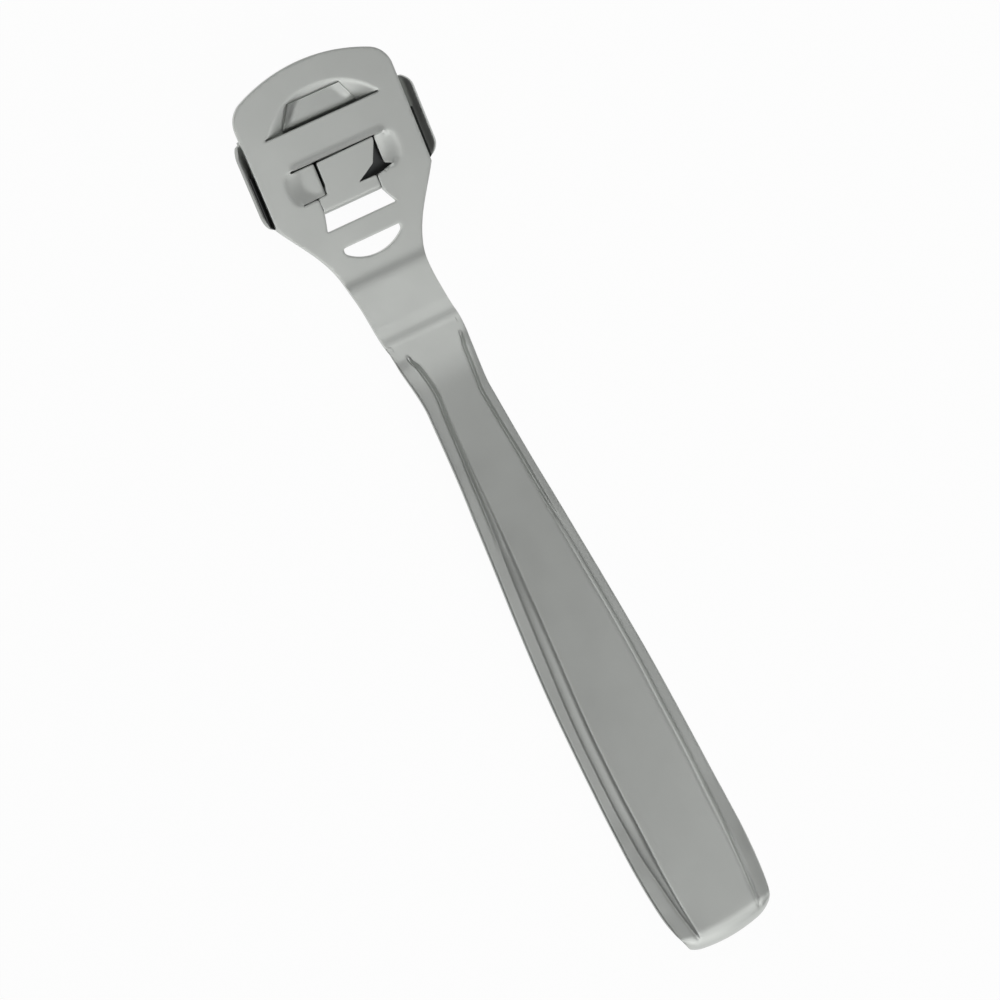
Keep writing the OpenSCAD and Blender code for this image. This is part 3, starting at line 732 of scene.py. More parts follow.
def handle_tree():
    """A grid bent into the neck and handle: every point's place follows from the inputs."""
    tree, given = new_tree("Handle Sheet", HANDLE_INPUTS, ("Rows", "Columns"))
    s = Sums(tree)
    grid = tree.nodes.new("GeometryNodeMeshGrid")
    grid.inputs["Size X"].default_value = 1.0
    grid.inputs["Size Y"].default_value = 2.0
    s.feed(grid.inputs["Vertices X"], given["Rows"])
    s.feed(grid.inputs["Vertices Y"], given["Columns"])
    place = s.position()
    across = place["Y"]
    reach, base_x, base_z, lean = middle_line(s, given, s.add(place["X"], 0.5))
    to_side, depth = hat_section(s, given, reach, across)

    # The end bulges in plan: the sides are drawn in from it
    bulge = s.ramp(reach, s.sub(given["End"], END_BULGE_LENGTH), given["End"], 0.0, END_BULGE,
                   smooth=True)
    palm_half = s.mul(given["Palm width"], 0.5)
    drawn_in = s.mul(bulge, s.op("POWER", s.div(to_side, palm_half), 2.0))
    final = s.vector(
        s.sub(s.add(base_x, s.mul(s.op("SINE", lean), depth)), drawn_in),
        s.mul(to_side, s.op("SIGN", across)),
        s.sub(base_z, s.mul(s.op("COSINE", lean), depth)),
    )
    end_tree(tree, given, s.moved(grid.outputs["Mesh"], final))
    return tree


def handle_grid(head, handle, material):
    """The neck and handle as one sheet of faces."""
    return grown("handle_grid", handle_tree(), {
        "Start": neck_x(head),
        "Bend": bend1_x(head),
        "End": handle.end_x,
        "Neck rise": handle.neck_rise,
        "Handle rise": handle.rise,
        "Neck width": handle.neck,
        "Waist width": handle.waist,
        "Palm width": handle.palm,
        "Panel height": handle.panel,
        "Side": handle.side,
        "Wall": handle.wall,
        "Groove": handle.groove,
        "Flange drop": handle.flange_drop,
        "Rim": handle.rim,
        "Cross step": handle.step,
        "End radius": handle.end_radius,
        "Rows": handle.rows,
        "Columns": 2 * (handle.columns // 2) + 1,
        "Material": material,
    })


# The head: a flat sheet with pressed scoops, slits and windows

HEAD_STEP = 0.4 * MM
HEAD_EDGE = 0.11 * MM

# Outline: shares of the flank's length and of its fall in width, and points on each curve
FLANK_SHARES = ((0.0, 1.0), (0.33, 0.50), (0.50, 0.0), (1.0, 0.0))
FLANK_STEPS = 64
NOSE_STEPS = 44
NOSE_CORNER_STEPS = 16

# Front scoop, the two rear scoops or ears, and the lip of the strap: slopes of their walls
# and where they fade
PRESS_BLEND = 0.16 * MM
SCOOP_WALL = 0.6
SCOOP_END_GAP = 0.2 * MM
EAR_WALL = 0.26
EAR_RADIUS_SHARE = 0.92
EAR_CENTRE_SHARE = 0.48
EAR_FADE = 1.1 * MM
EAR_FADE_START = 0.5 * MM
EAR_FADE_WIDTH = 0.6 * MM
STRAP_LIP = 1.4 * MM
STRAP_LIP_RISE = 0.24 * MM
STRAP_LIP_REACH = 0.5 * MM
STRAP_LIP_FADE = 1.5 * MM

# Slits and windows, the well around the latch's catch and the gaps beside its strip
SOFT_SLIT = 0.45 * MM
EAR_SLIT = 0.2 * MM
REAR_SLIT_HALF = 8.9 * MM
CATCH_GAP = 0.3 * MM
CATCH_LEFT = -4.1 * MM
CATCH_RIGHT = 6.75 * MM
STRIP_REAR_GAP = 2.9 * MM
WELL_SIDE_GAP = 0.35 * MM
WELL_FLARE = 1.35 * MM
WELL_FLARE_LENGTH = 0.9 * MM
WELL_DIP = 0.3 * MM
WINDOW_RIGHT_FRONT = 4.95 * MM
WINDOW_RIGHT_REAR = 6.5 * MM
WINDOW_CORNER = 0.35 * MM
MOON_SIDE = 1.0 * MM
MOON_CORNER = 0.7 * MM
MOON_STEPS = 12

# Grid points count as the seam's when they are this near to it, and this far apart
SEAM_REACH = 0.001 * MM
SEAM_GAP = 0.01 * MM


def flank_points(head, handle):
    """Right flank of the head as a Bezier curve."""
    half, neck_half = head.width / 2, handle.neck / 2
    ends = [np.array((head.side_end + a * head.flank, neck_half + b * (half - neck_half)))
            for a, b in FLANK_SHARES]
    points = []
    for u in np.linspace(0.0, 1.0, FLANK_STEPS + 1):
        v = 1.0 - u
        p = v ** 3 * ends[0] + 3 * u * v * v * ends[1] + 3 * u * u * v * ends[2] + u ** 3 * ends[3]
        points.append((p[0], p[1]))
    return points


def head_outline(head, handle, seam):
    """Outline of the head from the nose to the neck, with the seam's points at its rear."""
    half = head.width / 2
    centre = head.nose_x + head.nose_radius
    corner_y = half - head.nose_corner
    reach = head.nose_radius - head.nose_corner
    corner_x = centre - math.sqrt(reach ** 2 - corner_y ** 2)
    meet = math.degrees(math.atan2(corner_y, corner_x - centre))
    right = arc((centre, 0.0), head.nose_radius, 180.0, meet, NOSE_STEPS)[:-1]
    right += arc((corner_x, corner_y), head.nose_corner, meet, 90.0, NOSE_CORNER_STEPS)
    right += stretch(right[-1], (head.side_end, half), HEAD_STEP)[1:]
    right += flank_points(head, handle)[:-1]
    left = [(x, -y) for x, y in right[1:]][::-1]
    return right + sorted(seam, key=lambda p: -p[1]) + left


def rounded_slot(x, width, half_length, steps=6):
    """A slit across the tool with round ends."""
    r = width / 2
    return (arc((x + r, half_length - r), r, 0.0, 180.0, steps)
            + arc((x + r, r - half_length), r, 180.0, 360.0, steps))


def rear_slit_x(head):
    """Distance from the nose to the slit behind the strap."""
    return head.slit_x + head.slit_width + head.strap


def rear_slit_end(head):
    """Distance from the nose to the rear end of the rear scoops."""
    return rear_slit_x(head) + head.ear


def latch_opening(head):
    """Slit behind the strap, well around the catch and open window, as one hole."""
    slit, end = rear_slit_x(head), rear_slit_end(head)
    front, rear = end + EAR_SLIT, head.window_x - STRIP_REAR_GAP
    left, right = CATCH_LEFT - WELL_SIDE_GAP, CATCH_RIGHT + WELL_SIDE_GAP
    left_front, left_rear = -head.window_front / 2, -head.window_rear / 2
    return [
        (slit, -REAR_SLIT_HALF), (slit, right), (end - WELL_FLARE_LENGTH, right),
        (end - WELL_DIP, right + WELL_FLARE), (front + WELL_DIP, WINDOW_RIGHT_FRONT),
        (rear, WINDOW_RIGHT_FRONT), (head.window_x, WINDOW_RIGHT_REAR),
        (head.window_x, left_rear), (rear, left_front), (front, left_front),
        (front, -REAR_SLIT_HALF),
        (end, -REAR_SLIT_HALF), (end, left), (slit + SOFT_SLIT, left),
        (slit + SOFT_SLIT, -REAR_SLIT_HALF),
    ]


def half_moon(head):
    """The window behind the bar: a straight front edge, short sides and an arc."""
    front, half = head.window_x + head.bar, head.moon_width / 2
    sag = head.moon_length - MOON_SIDE
    radius = (half ** 2 + sag ** 2) / (2 * sag)
    reach = math.degrees(math.asin(half / radius))
    curve = arc((front + head.moon_length - radius, 0.0), radius, -reach, reach, MOON_STEPS)
    return [(front, -half)] + curve + [(front, half)]


def pressed(from_border, bottom, slope):
    """Depth of a pressing: a wall of even slope from its border down to its bottom."""
    wall = from_border * slope
    return soft_floor(wall - soft_floor(wall - bottom, PRESS_BLEND), PRESS_BLEND)


def front_scoop(x, y, head):
    """Depth of the front scoop, whose flat bottom falls to the slit."""
    half = head.slit_length / 2 - SCOOP_END_GAP
    plan_radius = (half ** 2 + head.scoop ** 2) / (2 * head.scoop)
    start = head.slit_x - head.scoop
    from_border = plan_radius - np.hypot(x - start - plan_radius, y)
    bottom = (x - start) * head.scoop_depth / head.scoop
    depth = pressed(from_border, bottom, SCOOP_WALL)
    return np.where(x < head.slit_x + head.slit_width / 2, depth, 0.0)


def rear_scoops(x, y, head):
    """Depth of the round scoops behind the strap, which fade beside the ends of the slits."""
    slit, end = rear_slit_x(head), rear_slit_end(head)
    radius = EAR_RADIUS_SHARE * head.ear
    centre_x = slit + EAR_CENTRE_SHARE * head.ear
    centre_y = head.ears_width / 2 - radius
    from_border = radius - np.hypot(x - centre_x, np.abs(y) - centre_y)
    depth = pressed(from_border, head.ear_depth, EAR_WALL)
    past_slit = ease((np.abs(y) - (REAR_SLIT_HALF - EAR_FADE_START)) / EAR_FADE_WIDTH)
    faded = ease((x - slit) / EAR_FADE) * ease((end + EAR_SLIT - x) / EAR_FADE)
    depth *= 1.0 - past_slit * (1.0 - faded)
    within = (x > slit + SOFT_SLIT / 2) & (x < end + EAR_SLIT / 2)
    return np.where(within, depth, 0.0)


def strap_lip(x, y, head):
    """How far the strap bends up towards its rear edge."""
    slit = rear_slit_x(head)
    u = np.clip((x - slit) / STRAP_LIP + 1.0, 0.0, 1.0)
    fade = ease((REAR_SLIT_HALF + STRAP_LIP_REACH - np.abs(y)) / STRAP_LIP_FADE)
    return np.where(x < slit + SOFT_SLIT / 2, STRAP_LIP_RISE * u ** 2 * fade, 0.0)


def head_depth(x, y, head):
    """How far the sheet is pressed down at each plan point."""
    return front_scoop(x, y, head) + rear_scoops(x, y, head) - strap_lip(x, y, head)


def seam_points(grid, start):
    """Plan points of the grid's first row, where the head meets the neck."""
    places = [vertex.co for vertex in grid.data.vertices]
    across = sorted(p.y for p in places if abs(p.x - start) < SEAM_REACH)
    return [(start, y) for y, before in zip(across, [-1.0] + across) if y - before > SEAM_GAP]


class SHAVER_OT_handle_sheet(bpy.types.Operator):
    """Builds the pressed sheet of the head, neck and handle"""
    bl_idname = "shaver.handle_sheet"
    bl_label = "Handle Sheet"

    def execute(self, context):
        head, handle = context.scene.shaver_head, context.scene.shaver_handle
        finish = context.scene.shaver_finish
        steel = satin_steel("satin_steel", finish.steel, finish.roughness)
        grid = handle_grid(head, handle, steel)
        outline = head_outline(head, handle, seam_points(grid, neck_x(head)))
        holes = [
            rounded_slot(head.slit_x, head.slit_width, head.slit_length / 2),
            rounded(latch_opening(head), WINDOW_CORNER),
            rounded(half_moon(head), MOON_CORNER),
        ]
        holes = [divided(hole, HEAD_STEP) for hole in holes]
        plan, triangles = plan_triangles(outline, holes, HEAD_STEP)
        heights = neck_height(plan[:, 0], head, handle) - head_depth(plan[:, 0], plan[:, 1], head)
        top = mesh_object("head", np.column_stack([plan, heights]), triangles)
        obj = join([top, grid], "handle_sheet")
        clean(obj)
        thicken(obj, head.sheet, HEAD_EDGE)
        finish_piece(obj, steel, "handle", "handle_body")
        return {"FINISHED"}


# The clamp: sole plate with its hook and nibs, blade and latch

ARCH_LOW = -4.761 * MM
STACK_GAP = 0.05 * MM
RUNNING_GAP = 0.3 * MM

# Sole plate
SOLE_STEP = 0.45 * MM
SOLE_EDGE = 0.12 * MM
SOLE_FRONT_REACH = 1.2 * MM
WING_STEP = 2.4 * MM
WING_SLANT = 0.3 * MM
WING_REAR = 0.5 * MM
WING_REAR_RUN = 1.0 * MM
WING_FRONT_ANGLE = 145.0
WING_FRONT_STEPS = 10
WING_REAR_STEPS = 16
LEFT_WING_SHORT = 1.0 * MM
NOTCH_TAPER = 2.7 * MM

# Hook
HOOK_SHEET = 0.4 * MM
HOOK_EDGE = 0.10 * MM
HOOK_CLEARANCE = 0.06 * MM
HOOK_LIE_RUN = 1.8 * MM
HOOK_ROOT = 2.0 * MM
HOOK_REACH = 3.75 * MM
HOOK_TIP_HEIGHT = 0.12 * MM
HOOK_PASS = 0.9 * MM
HOOK_PASS_DEPTH = 1.75 * MM
HOOK_FOOT = 0.3 * MM
HOOK_TAIL = 1.4 * MM
HOOK_TAIL_DROP = 0.12 * MM
HOOK_BENDS = (1.1 * MM, 0.5 * MM)
HOOK_ROWS = 60
HOOK_COLUMNS = 40

# Nibs that locate the blade: how far their tops draw in and round over
NIB_RADIUS = 0.9 * MM
NIB_ANGLE = math.radians(20.0)
NIB_MARGIN = 4.6 * MM
NIB_CLEARANCE = 0.1 * MM
NIB_ROUND_START = 0.2
NIB_DRAW = 0.22
NIB_CROWN = 0.18
NIB_SIDES = 40
NIB_BANDS = 6
NIB_RINGS = 5
NIB_INPUTS = ("Radius", "Height", "Place", "Arch radius", "Arch axis", "Angle")

# Blade
BLADE_STEP = 0.4 * MM
BLADE_CORNER = 0.8 * MM
BLADE_ROUGHNESS = 0.3
BEVEL_DEPTH_SHARE = 0.9
HOLE_STEPS = 24

# Latch: the catch's outline as shares of the scoop's length and of the catch's width
LATCH_STEP = 0.22 * MM
LATCH_EDGE = 0.10 * MM
LATCH_CORNER = 0.3 * MM
LATCH_DROP = 0.15 * MM
LATCH_TURN_RADIUS = 0.85 * MM
LATCH_TURN_STEPS = 24
STRIP_SIDE_GAP = 0.12 * MM
STRIP_DIP = 0.2 * MM
LEG_WIDTH = 4.4 * MM
LEG_ROOT_MARGIN = 1.1 * MM
LEG_ROOT_SHIFT = 0.1 * MM
LEG_ROOT_LIFT = 0.05 * MM
LEG_SLOT_LENGTH = 3.2 * MM
CATCH_LEFT_SHARES = ((0.03, 0.0), (0.70, 0.0), (0.80, -0.022), (0.97, -0.022))
CATCH_RIGHT_SHARES = ((1.02, 0.525), (0.695, 0.843), (0.12, 0.99), (0.0, 1.0))


def arch_axis(clamp):
    """Height of the axis that the sole plate and the blade are bent about."""
    return clamp.arch + ARCH_LOW


def sole_radius(clamp):
    """Distance from the arch's axis to the upper face of the sole plate."""
    return clamp.arch + clamp.blade + STACK_GAP


def arch_points(plan, radius, clamp):
    """Plan points laid on the arch, at a distance from its axis."""
    height = arch_axis(clamp) - np.sqrt(radius ** 2 - plan[:, 1] ** 2)
    return np.column_stack([plan, height])


def hook_root(head):
    """Where the hook leaves the sole plate."""
    return rear_slit_x(head) - HOOK_ROOT


def sole_outline(head, clamp):
    """Plan of the sole plate, notched where the hook is bent up out of it."""
    half, r = clamp.sole_width / 2, clamp.wing_corner
    rear = clamp.sole_rear
    front = rear - clamp.wing
    start = head.slit_x - SOLE_FRONT_REACH
    notch, root = clamp.hook / 2 + RUNNING_GAP, hook_root(head)
    inner = half - WING_STEP
    right = [(root, notch), (start, notch - NOTCH_TAPER), (start, inner),
             (front + WING_SLANT, inner)]
    right += arc((front + r, half - r), r, WING_FRONT_ANGLE, 90.0, WING_FRONT_STEPS)
    right += arc((rear + WING_REAR - r, half - r), r, 90.0, 0.0, WING_REAR_STEPS)
    right.append((rear, half - r - WING_REAR_RUN))
    left = [(x, -min(y, inner + (y - inner) * (1.0 - LEFT_WING_SHORT / WING_STEP)))
            for x, y in reversed(right)]
    return divided(left + right, SOLE_STEP)[::-1]


def fillet_path(points, radii, steps=10):
    """A side view of a bent strip: the corners between its straight runs are rounded."""
    path = [points[0]]
    for a, b, c, radius in zip(points, points[1:], points[2:], radii):
        a, b, c = Vector(a), Vector(b), Vector(c)
        back, on = (a - b).normalized(), (c - b).normalized()
        half_turn = (math.pi - back.angle(on)) / 2
        cut = radius * math.tan(half_turn)
        middle = b + (back + on).normalized() * (radius / math.cos(half_turn))
        start, end = b + back * cut - middle, b + on * cut - middle
        turn = start.angle_signed(end)
        for k in range(steps + 1):
            p = middle + Matrix.Rotation(-turn * k / steps, 2) @ start
            path.append((p.x, p.y))
    return path + [points[-1]]


def path_lengths(path):
    """Length of a side view up to each of its points."""
    runs = np.linalg.norm(np.diff(np.array(path), axis=0), axis=1)
    return np.concatenate([[0.0], np.cumsum(runs)])


def along_path(path, lengths):
    """Places in x and z at given lengths along a side view."""
    places = np.array(path)
    travelled = path_lengths(path)
    return (np.interp(lengths, travelled, places[:, 0]),
            np.interp(lengths, travelled, places[:, 1]))


def hook_side_view(head, clamp):
    """Upper line of the hook: over the front scoop, through the slit and down to the plate."""
    slit, root = head.slit_x, hook_root(head)
    plate = ARCH_LOW - clamp.blade - STACK_GAP
    return fillet_path([
        (slit - HOOK_REACH, HOOK_TIP_HEIGHT), (slit + HOOK_PASS, -HOOK_PASS_DEPTH),
        (root - HOOK_FOOT, plate), (root + HOOK_TAIL, plate - HOOK_TAIL_DROP),
    ], HOOK_BENDS)


def hook_mesh(head, clamp):
    """The hook as a strip of even thickness, narrower towards its tip, which lies in the scoop."""
    path = hook_side_view(head, clamp)
    travelled = path_lengths(path)
    lengths = np.unique(np.concatenate([np.linspace(0.0, travelled[-1], HOOK_ROWS), travelled]))
    x, z = along_path(path, lengths)
    from_tip = np.clip((x - x[0]) / (head.slit_x - x[0]), 0.0, 1.0)
    half = clamp.hook_tip / 2 + (clamp.hook - clamp.hook_tip) / 2 * from_tip
    n = HOOK_COLUMNS + 1
    places_x = np.repeat(x, n)
    places_y = np.outer(half, np.linspace(-1.0, 1.0, n)).ravel()
    lying = HOOK_SHEET + HOOK_CLEARANCE - head_depth(places_x, places_y, head)
    share = ease((head.slit_x - places_x) / HOOK_LIE_RUN)
    heights = np.repeat(z, n) * (1.0 - share) + lying * share
    faces = [(i * n + j, (i + 1) * n + j, (i + 1) * n + j + 1, i * n + j + 1)
             for i in range(len(x) - 1) for j in range(n - 1)]
    obj = mesh_object("hook", np.column_stack([places_x, places_y, heights]), faces)
    thicken(obj, HOOK_SHEET, HOOK_EDGE)
    return obj


def nib_tree():
    """Pressed nibs: one round-topped stud put at each end of a line across the plate."""
    tree, given = new_tree("Blade Nibs", NIB_INPUTS)
    s = Sums(tree)
    stud = tree.nodes.new("GeometryNodeMeshCylinder")
    stud.fill_type = "NGON"
    stud.inputs["Vertices"].default_value = NIB_SIDES
    stud.inputs["Side Segments"].default_value = NIB_BANDS
    stud.inputs["Fill Segments"].default_value = NIB_RINGS
    s.feed(stud.inputs["Radius"], given["Radius"])
    s.feed(stud.inputs["Depth"], given["Height"])

    # The stud's top draws in and rounds over
    place = s.position()
    half_height = s.mul(given["Height"], 0.5)
    out = s.op("SQRT", s.add(s.mul(place["X"], place["X"]), s.mul(place["Y"], place["Y"])))
    rise = s.ramp(place["Z"], s.mul(half_height, NIB_ROUND_START), half_height)
    drawn = s.sub(1.0, s.mul(NIB_DRAW, rise, rise))
    crown = s.mul(given["Radius"], -NIB_CROWN, rise,
                  s.op("POWER", s.div(out, given["Radius"]), 2.0))
    shaped = s.moved(stud.outputs["Mesh"], s.vector(
        s.mul(place["X"], drawn), s.mul(place["Y"], drawn), s.add(place["Z"], crown)))

    # One stud on each side, square to the arch
    points = tree.nodes.new("GeometryNodePoints")
    points.inputs["Count"].default_value = 2
    index = tree.nodes.new("GeometryNodeInputIndex")
    side = s.sub(s.mul(index.outputs[0], 2.0), 1.0)
    lean = s.mul(given["Angle"], side)
    middle = s.sub(given["Arch radius"], half_height)
    s.feed(points.inputs["Position"], s.vector(
        given["Place"], s.mul(middle, s.op("SINE", lean)),
        s.sub(given["Arch axis"], s.mul(middle, s.op("COSINE", lean)))))
    turn = tree.nodes.new("FunctionNodeEulerToRotation")
    s.feed(turn.inputs[0], s.vector(lean))
    instances = tree.nodes.new("GeometryNodeInstanceOnPoints")
    s.feed(instances.inputs["Points"], points.outputs[0])
    s.feed(instances.inputs["Instance"], shaped)
    s.feed(instances.inputs["Rotation"], turn.outputs[0])
    end_tree(tree, given, instances.outputs[0])
    return tree


def nibs(clamp, material):
    """The two nibs that locate the blade."""
    return grown("nibs", nib_tree(), {
        "Radius": NIB_RADIUS,
        "Height": clamp.blade + STACK_GAP - NIB_CLEARANCE + clamp.sole / 2,
        "Place": clamp.sole_rear - NIB_MARGIN,
        "Arch radius": sole_radius(clamp) + clamp.sole / 2,
        "Arch axis": arch_axis(clamp),
        "Angle": NIB_ANGLE,
        "Material": material,
    })


class SHAVER_OT_sole_plate(bpy.types.Operator):
    """Builds the arched sole plate with its hook and the nibs for the blade"""
    bl_idname = "shaver.sole_plate"
    bl_label = "Sole Plate"

    def execute(self, context):
        head, clamp = context.scene.shaver_head, context.scene.shaver_clamp
        finish = context.scene.shaver_finish
        # The sole plate's darker colour is painted shade for the wings under the head.
        steel = satin_steel("sole_steel", finish.sole_steel, finish.sole_roughness)
        plan, triangles = plan_triangles(sole_outline(head, clamp), [], SOLE_STEP)
        plate = mesh_object("plate", arch_points(plan, sole_radius(clamp), clamp), triangles)
        clean(plate)
        thicken(plate, clamp.sole, SOLE_EDGE)
        obj = join([plate, hook_mesh(head, clamp), nibs(clamp, steel)], "sole_sheet")
        finish_piece(obj, steel, "clamp", "sole_plate")
        return {"FINISHED"}


def blade_holes(head, clamp):
    """A round hole for each nib and a slot for the latch's leg."""
    nib_x, nib_y = clamp.sole_rear - NIB_MARGIN, clamp.arch * math.sin(NIB_ANGLE)
    holes = [arc((nib_x, side * nib_y), NIB_RADIUS + NIB_CLEARANCE, 0.0, 360.0, HOLE_STEPS)[:-1]
             for side in (-1, 1)]
    front = rear_slit_x(head) + LEG_ROOT_MARGIN - clamp.latch / 2 - RUNNING_GAP
    rear, half = front + LEG_SLOT_LENGTH, LEG_WIDTH / 2 + RUNNING_GAP
    slot = [(front, -half), (rear, -half), (rear, half), (front, half)]
    return holes + [divided(slot, BLADE_STEP)]


def grind_edge(obj, clamp):
    """Thins the blade from below towards its cutting edge."""
    axis = arch_axis(clamp)
    bevel_x = clamp.sole_rear + clamp.reveal - clamp.bevel
    for vertex in obj.data.vertices:
        x, y, z = vertex.co
        out = math.hypot(y, z - axis)
        ground = (x - bevel_x) / clamp.bevel
        if out > clamp.arch + clamp.blade / 2 and ground > 0:
            scale = (clamp.arch + clamp.blade * (1.0 - BEVEL_DEPTH_SHARE * ground)) / out
            vertex.co = (x, y * scale, axis + (z - axis) * scale)


class SHAVER_OT_blade(bpy.types.Operator):
    """Builds the thin arched blade with its ground edge"""
    bl_idname = "shaver.blade"
    bl_label = "Blade"

    def execute(self, context):
        head, clamp = context.scene.shaver_head, context.scene.shaver_clamp
        finish = context.scene.shaver_finish
        # The blade's near-black colour is painted shade for the gaps it shows through.
        steel = satin_steel("blade_steel", finish.blade_steel, BLADE_ROUGHNESS)
        edge_x = clamp.sole_rear + clamp.reveal
        front_x = edge_x - clamp.blade_width
        reach, cut = clamp.blade_span / 2, BLADE_CORNER
        outline = divided([(front_x, -reach), (edge_x - cut, -reach), (edge_x, cut - reach),
                           (edge_x, reach - cut), (edge_x - cut, reach), (front_x, reach)],
                          BLADE_STEP)
        plan, triangles = plan_triangles(outline, blade_holes(head, clamp), BLADE_STEP)
        obj = mesh_object("blade_sheet", arch_points(plan, clamp.arch, clamp), triangles)
        clean(obj)
        thicken(obj, clamp.blade)
        grind_edge(obj, clamp)
        finish_piece(obj, steel, "clamp", "blade")
        return {"FINISHED"}


def latch_side_view(head, clamp):
    """Outer line of the latch strip: flat tongue, turned back under itself, down to the plate."""
    front, rear = rear_slit_x(head) + CATCH_GAP, head.window_x - STRIP_REAR_GAP
    radius = LATCH_TURN_RADIUS
    middle = (rear - radius, -LATCH_DROP - radius)
    root = (rear_slit_x(head) + LEG_ROOT_MARGIN - LEG_ROOT_SHIFT,
            ARCH_LOW - clamp.blade + LEG_ROOT_LIFT)
    to_root = (root[0] - middle[0], root[1] - middle[1])
    leave = math.atan2(to_root[1], to_root[0]) + math.acos(radius / math.hypot(*to_root))
    turn = arc(middle, radius, 90.0, math.degrees(leave), LATCH_TURN_STEPS)
    return [(front, -LATCH_DROP)] + turn + [root]


def latch_blank(head, travelled):
    """Outline of the latch before it is bent: catch, cross strip and leg."""
    front, end = rear_slit_x(head) + CATCH_GAP, rear_slit_end(head) + EAR_SLIT
    width, leg = CATCH_RIGHT - CATCH_LEFT, LEG_WIDTH / 2
    half_left = head.window_front / 2 - STRIP_SIDE_GAP
    half_right = WINDOW_RIGHT_FRONT - STRIP_SIDE_GAP
    left, right = ([(u * (end - front), CATCH_LEFT + v * width) for u, v in shares]
                   for shares in (CATCH_LEFT_SHARES, CATCH_RIGHT_SHARES))
    turned, total = travelled[-2], travelled[-1]
    return (left + [(end - EAR_SLIT / 2 - front, -half_left), (turned, -half_left), (turned, -leg),
                    (total, -leg), (total, leg), (turned, leg), (turned, half_right),
                    (end + STRIP_DIP - front, half_right)] + right)


class SHAVER_OT_latch(bpy.types.Operator):
    """Builds the spring latch: a catch and cross strip on a leg turned back under it"""
    bl_idname = "shaver.latch"
    bl_label = "Latch"

    def execute(self, context):
        head, clamp = context.scene.shaver_head, context.scene.shaver_clamp
        finish = context.scene.shaver_finish
        steel = satin_steel("latch_steel", finish.latch_steel, finish.roughness)
        path = latch_side_view(head, clamp)
        blank = rounded(latch_blank(head, path_lengths(path)), LATCH_CORNER)
        plan, triangles = plan_triangles(divided(blank, LATCH_STEP), [], LATCH_STEP)
        x, z = along_path(path, plan[:, 0])
        obj = mesh_object("latch_sheet", np.column_stack([x, plan[:, 1], z]), triangles)
        clean(obj)
        thicken(obj, clamp.latch, LATCH_EDGE)
        finish_piece(obj, steel, "latch", "latch_tongue")
        return {"FINISHED"}


# Finishes

# Darkest and lightest tint of the clouds, and how far the wear changes the roughness
CLOUD_TINTS = (0.93, 1.05)
CLOUD_SCALE = 90.0
WEAR_SCALE = 160.0
WEAR_ROUGHNESS = (-0.05, 0.06)
GRAIN_SCALE = 5200.0
GRAIN_STRENGTH = 0.10
GRAIN_DEPTH = 0.05 * MM


def satin_steel(name, tint, roughness):
    """Satin steel: a fine blasted grain, faint cloudy wear and soft reflections."""
    material = bpy.data.materials.new(name)
    material.use_nodes = True
    nodes, links = material.node_tree.nodes, material.node_tree.links
    shader = nodes["Principled BSDF"]
    shader.inputs["Metallic"].default_value = 1.0
    place = nodes.new("ShaderNodeTexCoord").outputs["Object"]

    def noise(scale, detail):
        node = nodes.new("ShaderNodeTexNoise")
        node.inputs["Scale"].default_value = scale
        node.inputs["Detail"].default_value = detail
        links.new(place, node.inputs["Vector"])
        return node.outputs["Fac"]

    mix = nodes.new("ShaderNodeMix")
    mix.data_type = "RGBA"
    for label, share in zip("AB", CLOUD_TINTS):
        mix.inputs[label].default_value = (*[min(1.0, c * share) for c in tint], 1.0)
    links.new(noise(CLOUD_SCALE, 3.0), mix.inputs["Factor"])
    links.new(mix.outputs["Result"], shader.inputs["Base Color"])
    wear = nodes.new("ShaderNodeMapRange")
    for label, change in zip(("To Min", "To Max"), WEAR_ROUGHNESS):
        wear.inputs[label].default_value = roughness + change
    links.new(noise(WEAR_SCALE, 4.0), wear.inputs["Value"])
    links.new(wear.outputs["Result"], shader.inputs["Roughness"])
    bump = nodes.new("ShaderNodeBump")
    bump.inputs["Strength"].default_value = GRAIN_STRENGTH
    bump.inputs["Distance"].default_value = GRAIN_DEPTH
    links.new(noise(GRAIN_SCALE, 2.0), bump.inputs["Height"])
    links.new(bump.outputs["Normal"], shader.inputs["Normal"])
    return material


# Stage: pale floor, soft lamps and the camera at the photograph's angle

PIVOT = Vector((85.0, 0.0, 15.0)) * MM
TO_CAMERA = Vector((-0.2737, -0.2757, 0.9215)).normalized()
CAMERA_DISTANCE = 450.0 * MM
CAMERA_ROLL = math.radians(-22.2946)
CAMERA_CLIP = 10.0 * MM
PICTURE_PIXELS = 1000.0
PIVOT_PIXEL = (518.04, 525.03)
PIXELS_PER_MM = 5.93
SENSOR = 36.0


def make_camera():
    """Camera at the photograph's viewing angle, fitted to the outline of the tool."""
    rightwards = TO_CAMERA.cross(Vector((1.0, 0.0, 0.0))).normalized()
    endwards = rightwards.cross(TO_CAMERA)
    right = rightwards * math.cos(CAMERA_ROLL) - endwards * math.sin(CAMERA_ROLL)
    up = -(rightwards * math.sin(CAMERA_ROLL) + endwards * math.cos(CAMERA_ROLL))
    pose = Matrix((right, up, TO_CAMERA)).transposed().to_4x4()
    pose.translation = PIVOT + TO_CAMERA * CAMERA_DISTANCE
    data = bpy.data.cameras.new("view_camera")
    data.sensor_width = SENSOR
    data.lens = PIXELS_PER_MM / MM * CAMERA_DISTANCE * SENSOR / PICTURE_PIXELS
    data.shift_x = -(PIVOT_PIXEL[0] / PICTURE_PIXELS - 0.5)
    data.shift_y = PIVOT_PIXEL[1] / PICTURE_PIXELS - 0.5
    data.clip_start = CAMERA_CLIP
    camera = bpy.data.objects.new("view_camera", data)
    bpy.context.collection.objects.link(camera)
    camera.matrix_world = TO_REST @ pose
    bpy.context.scene.camera = camera


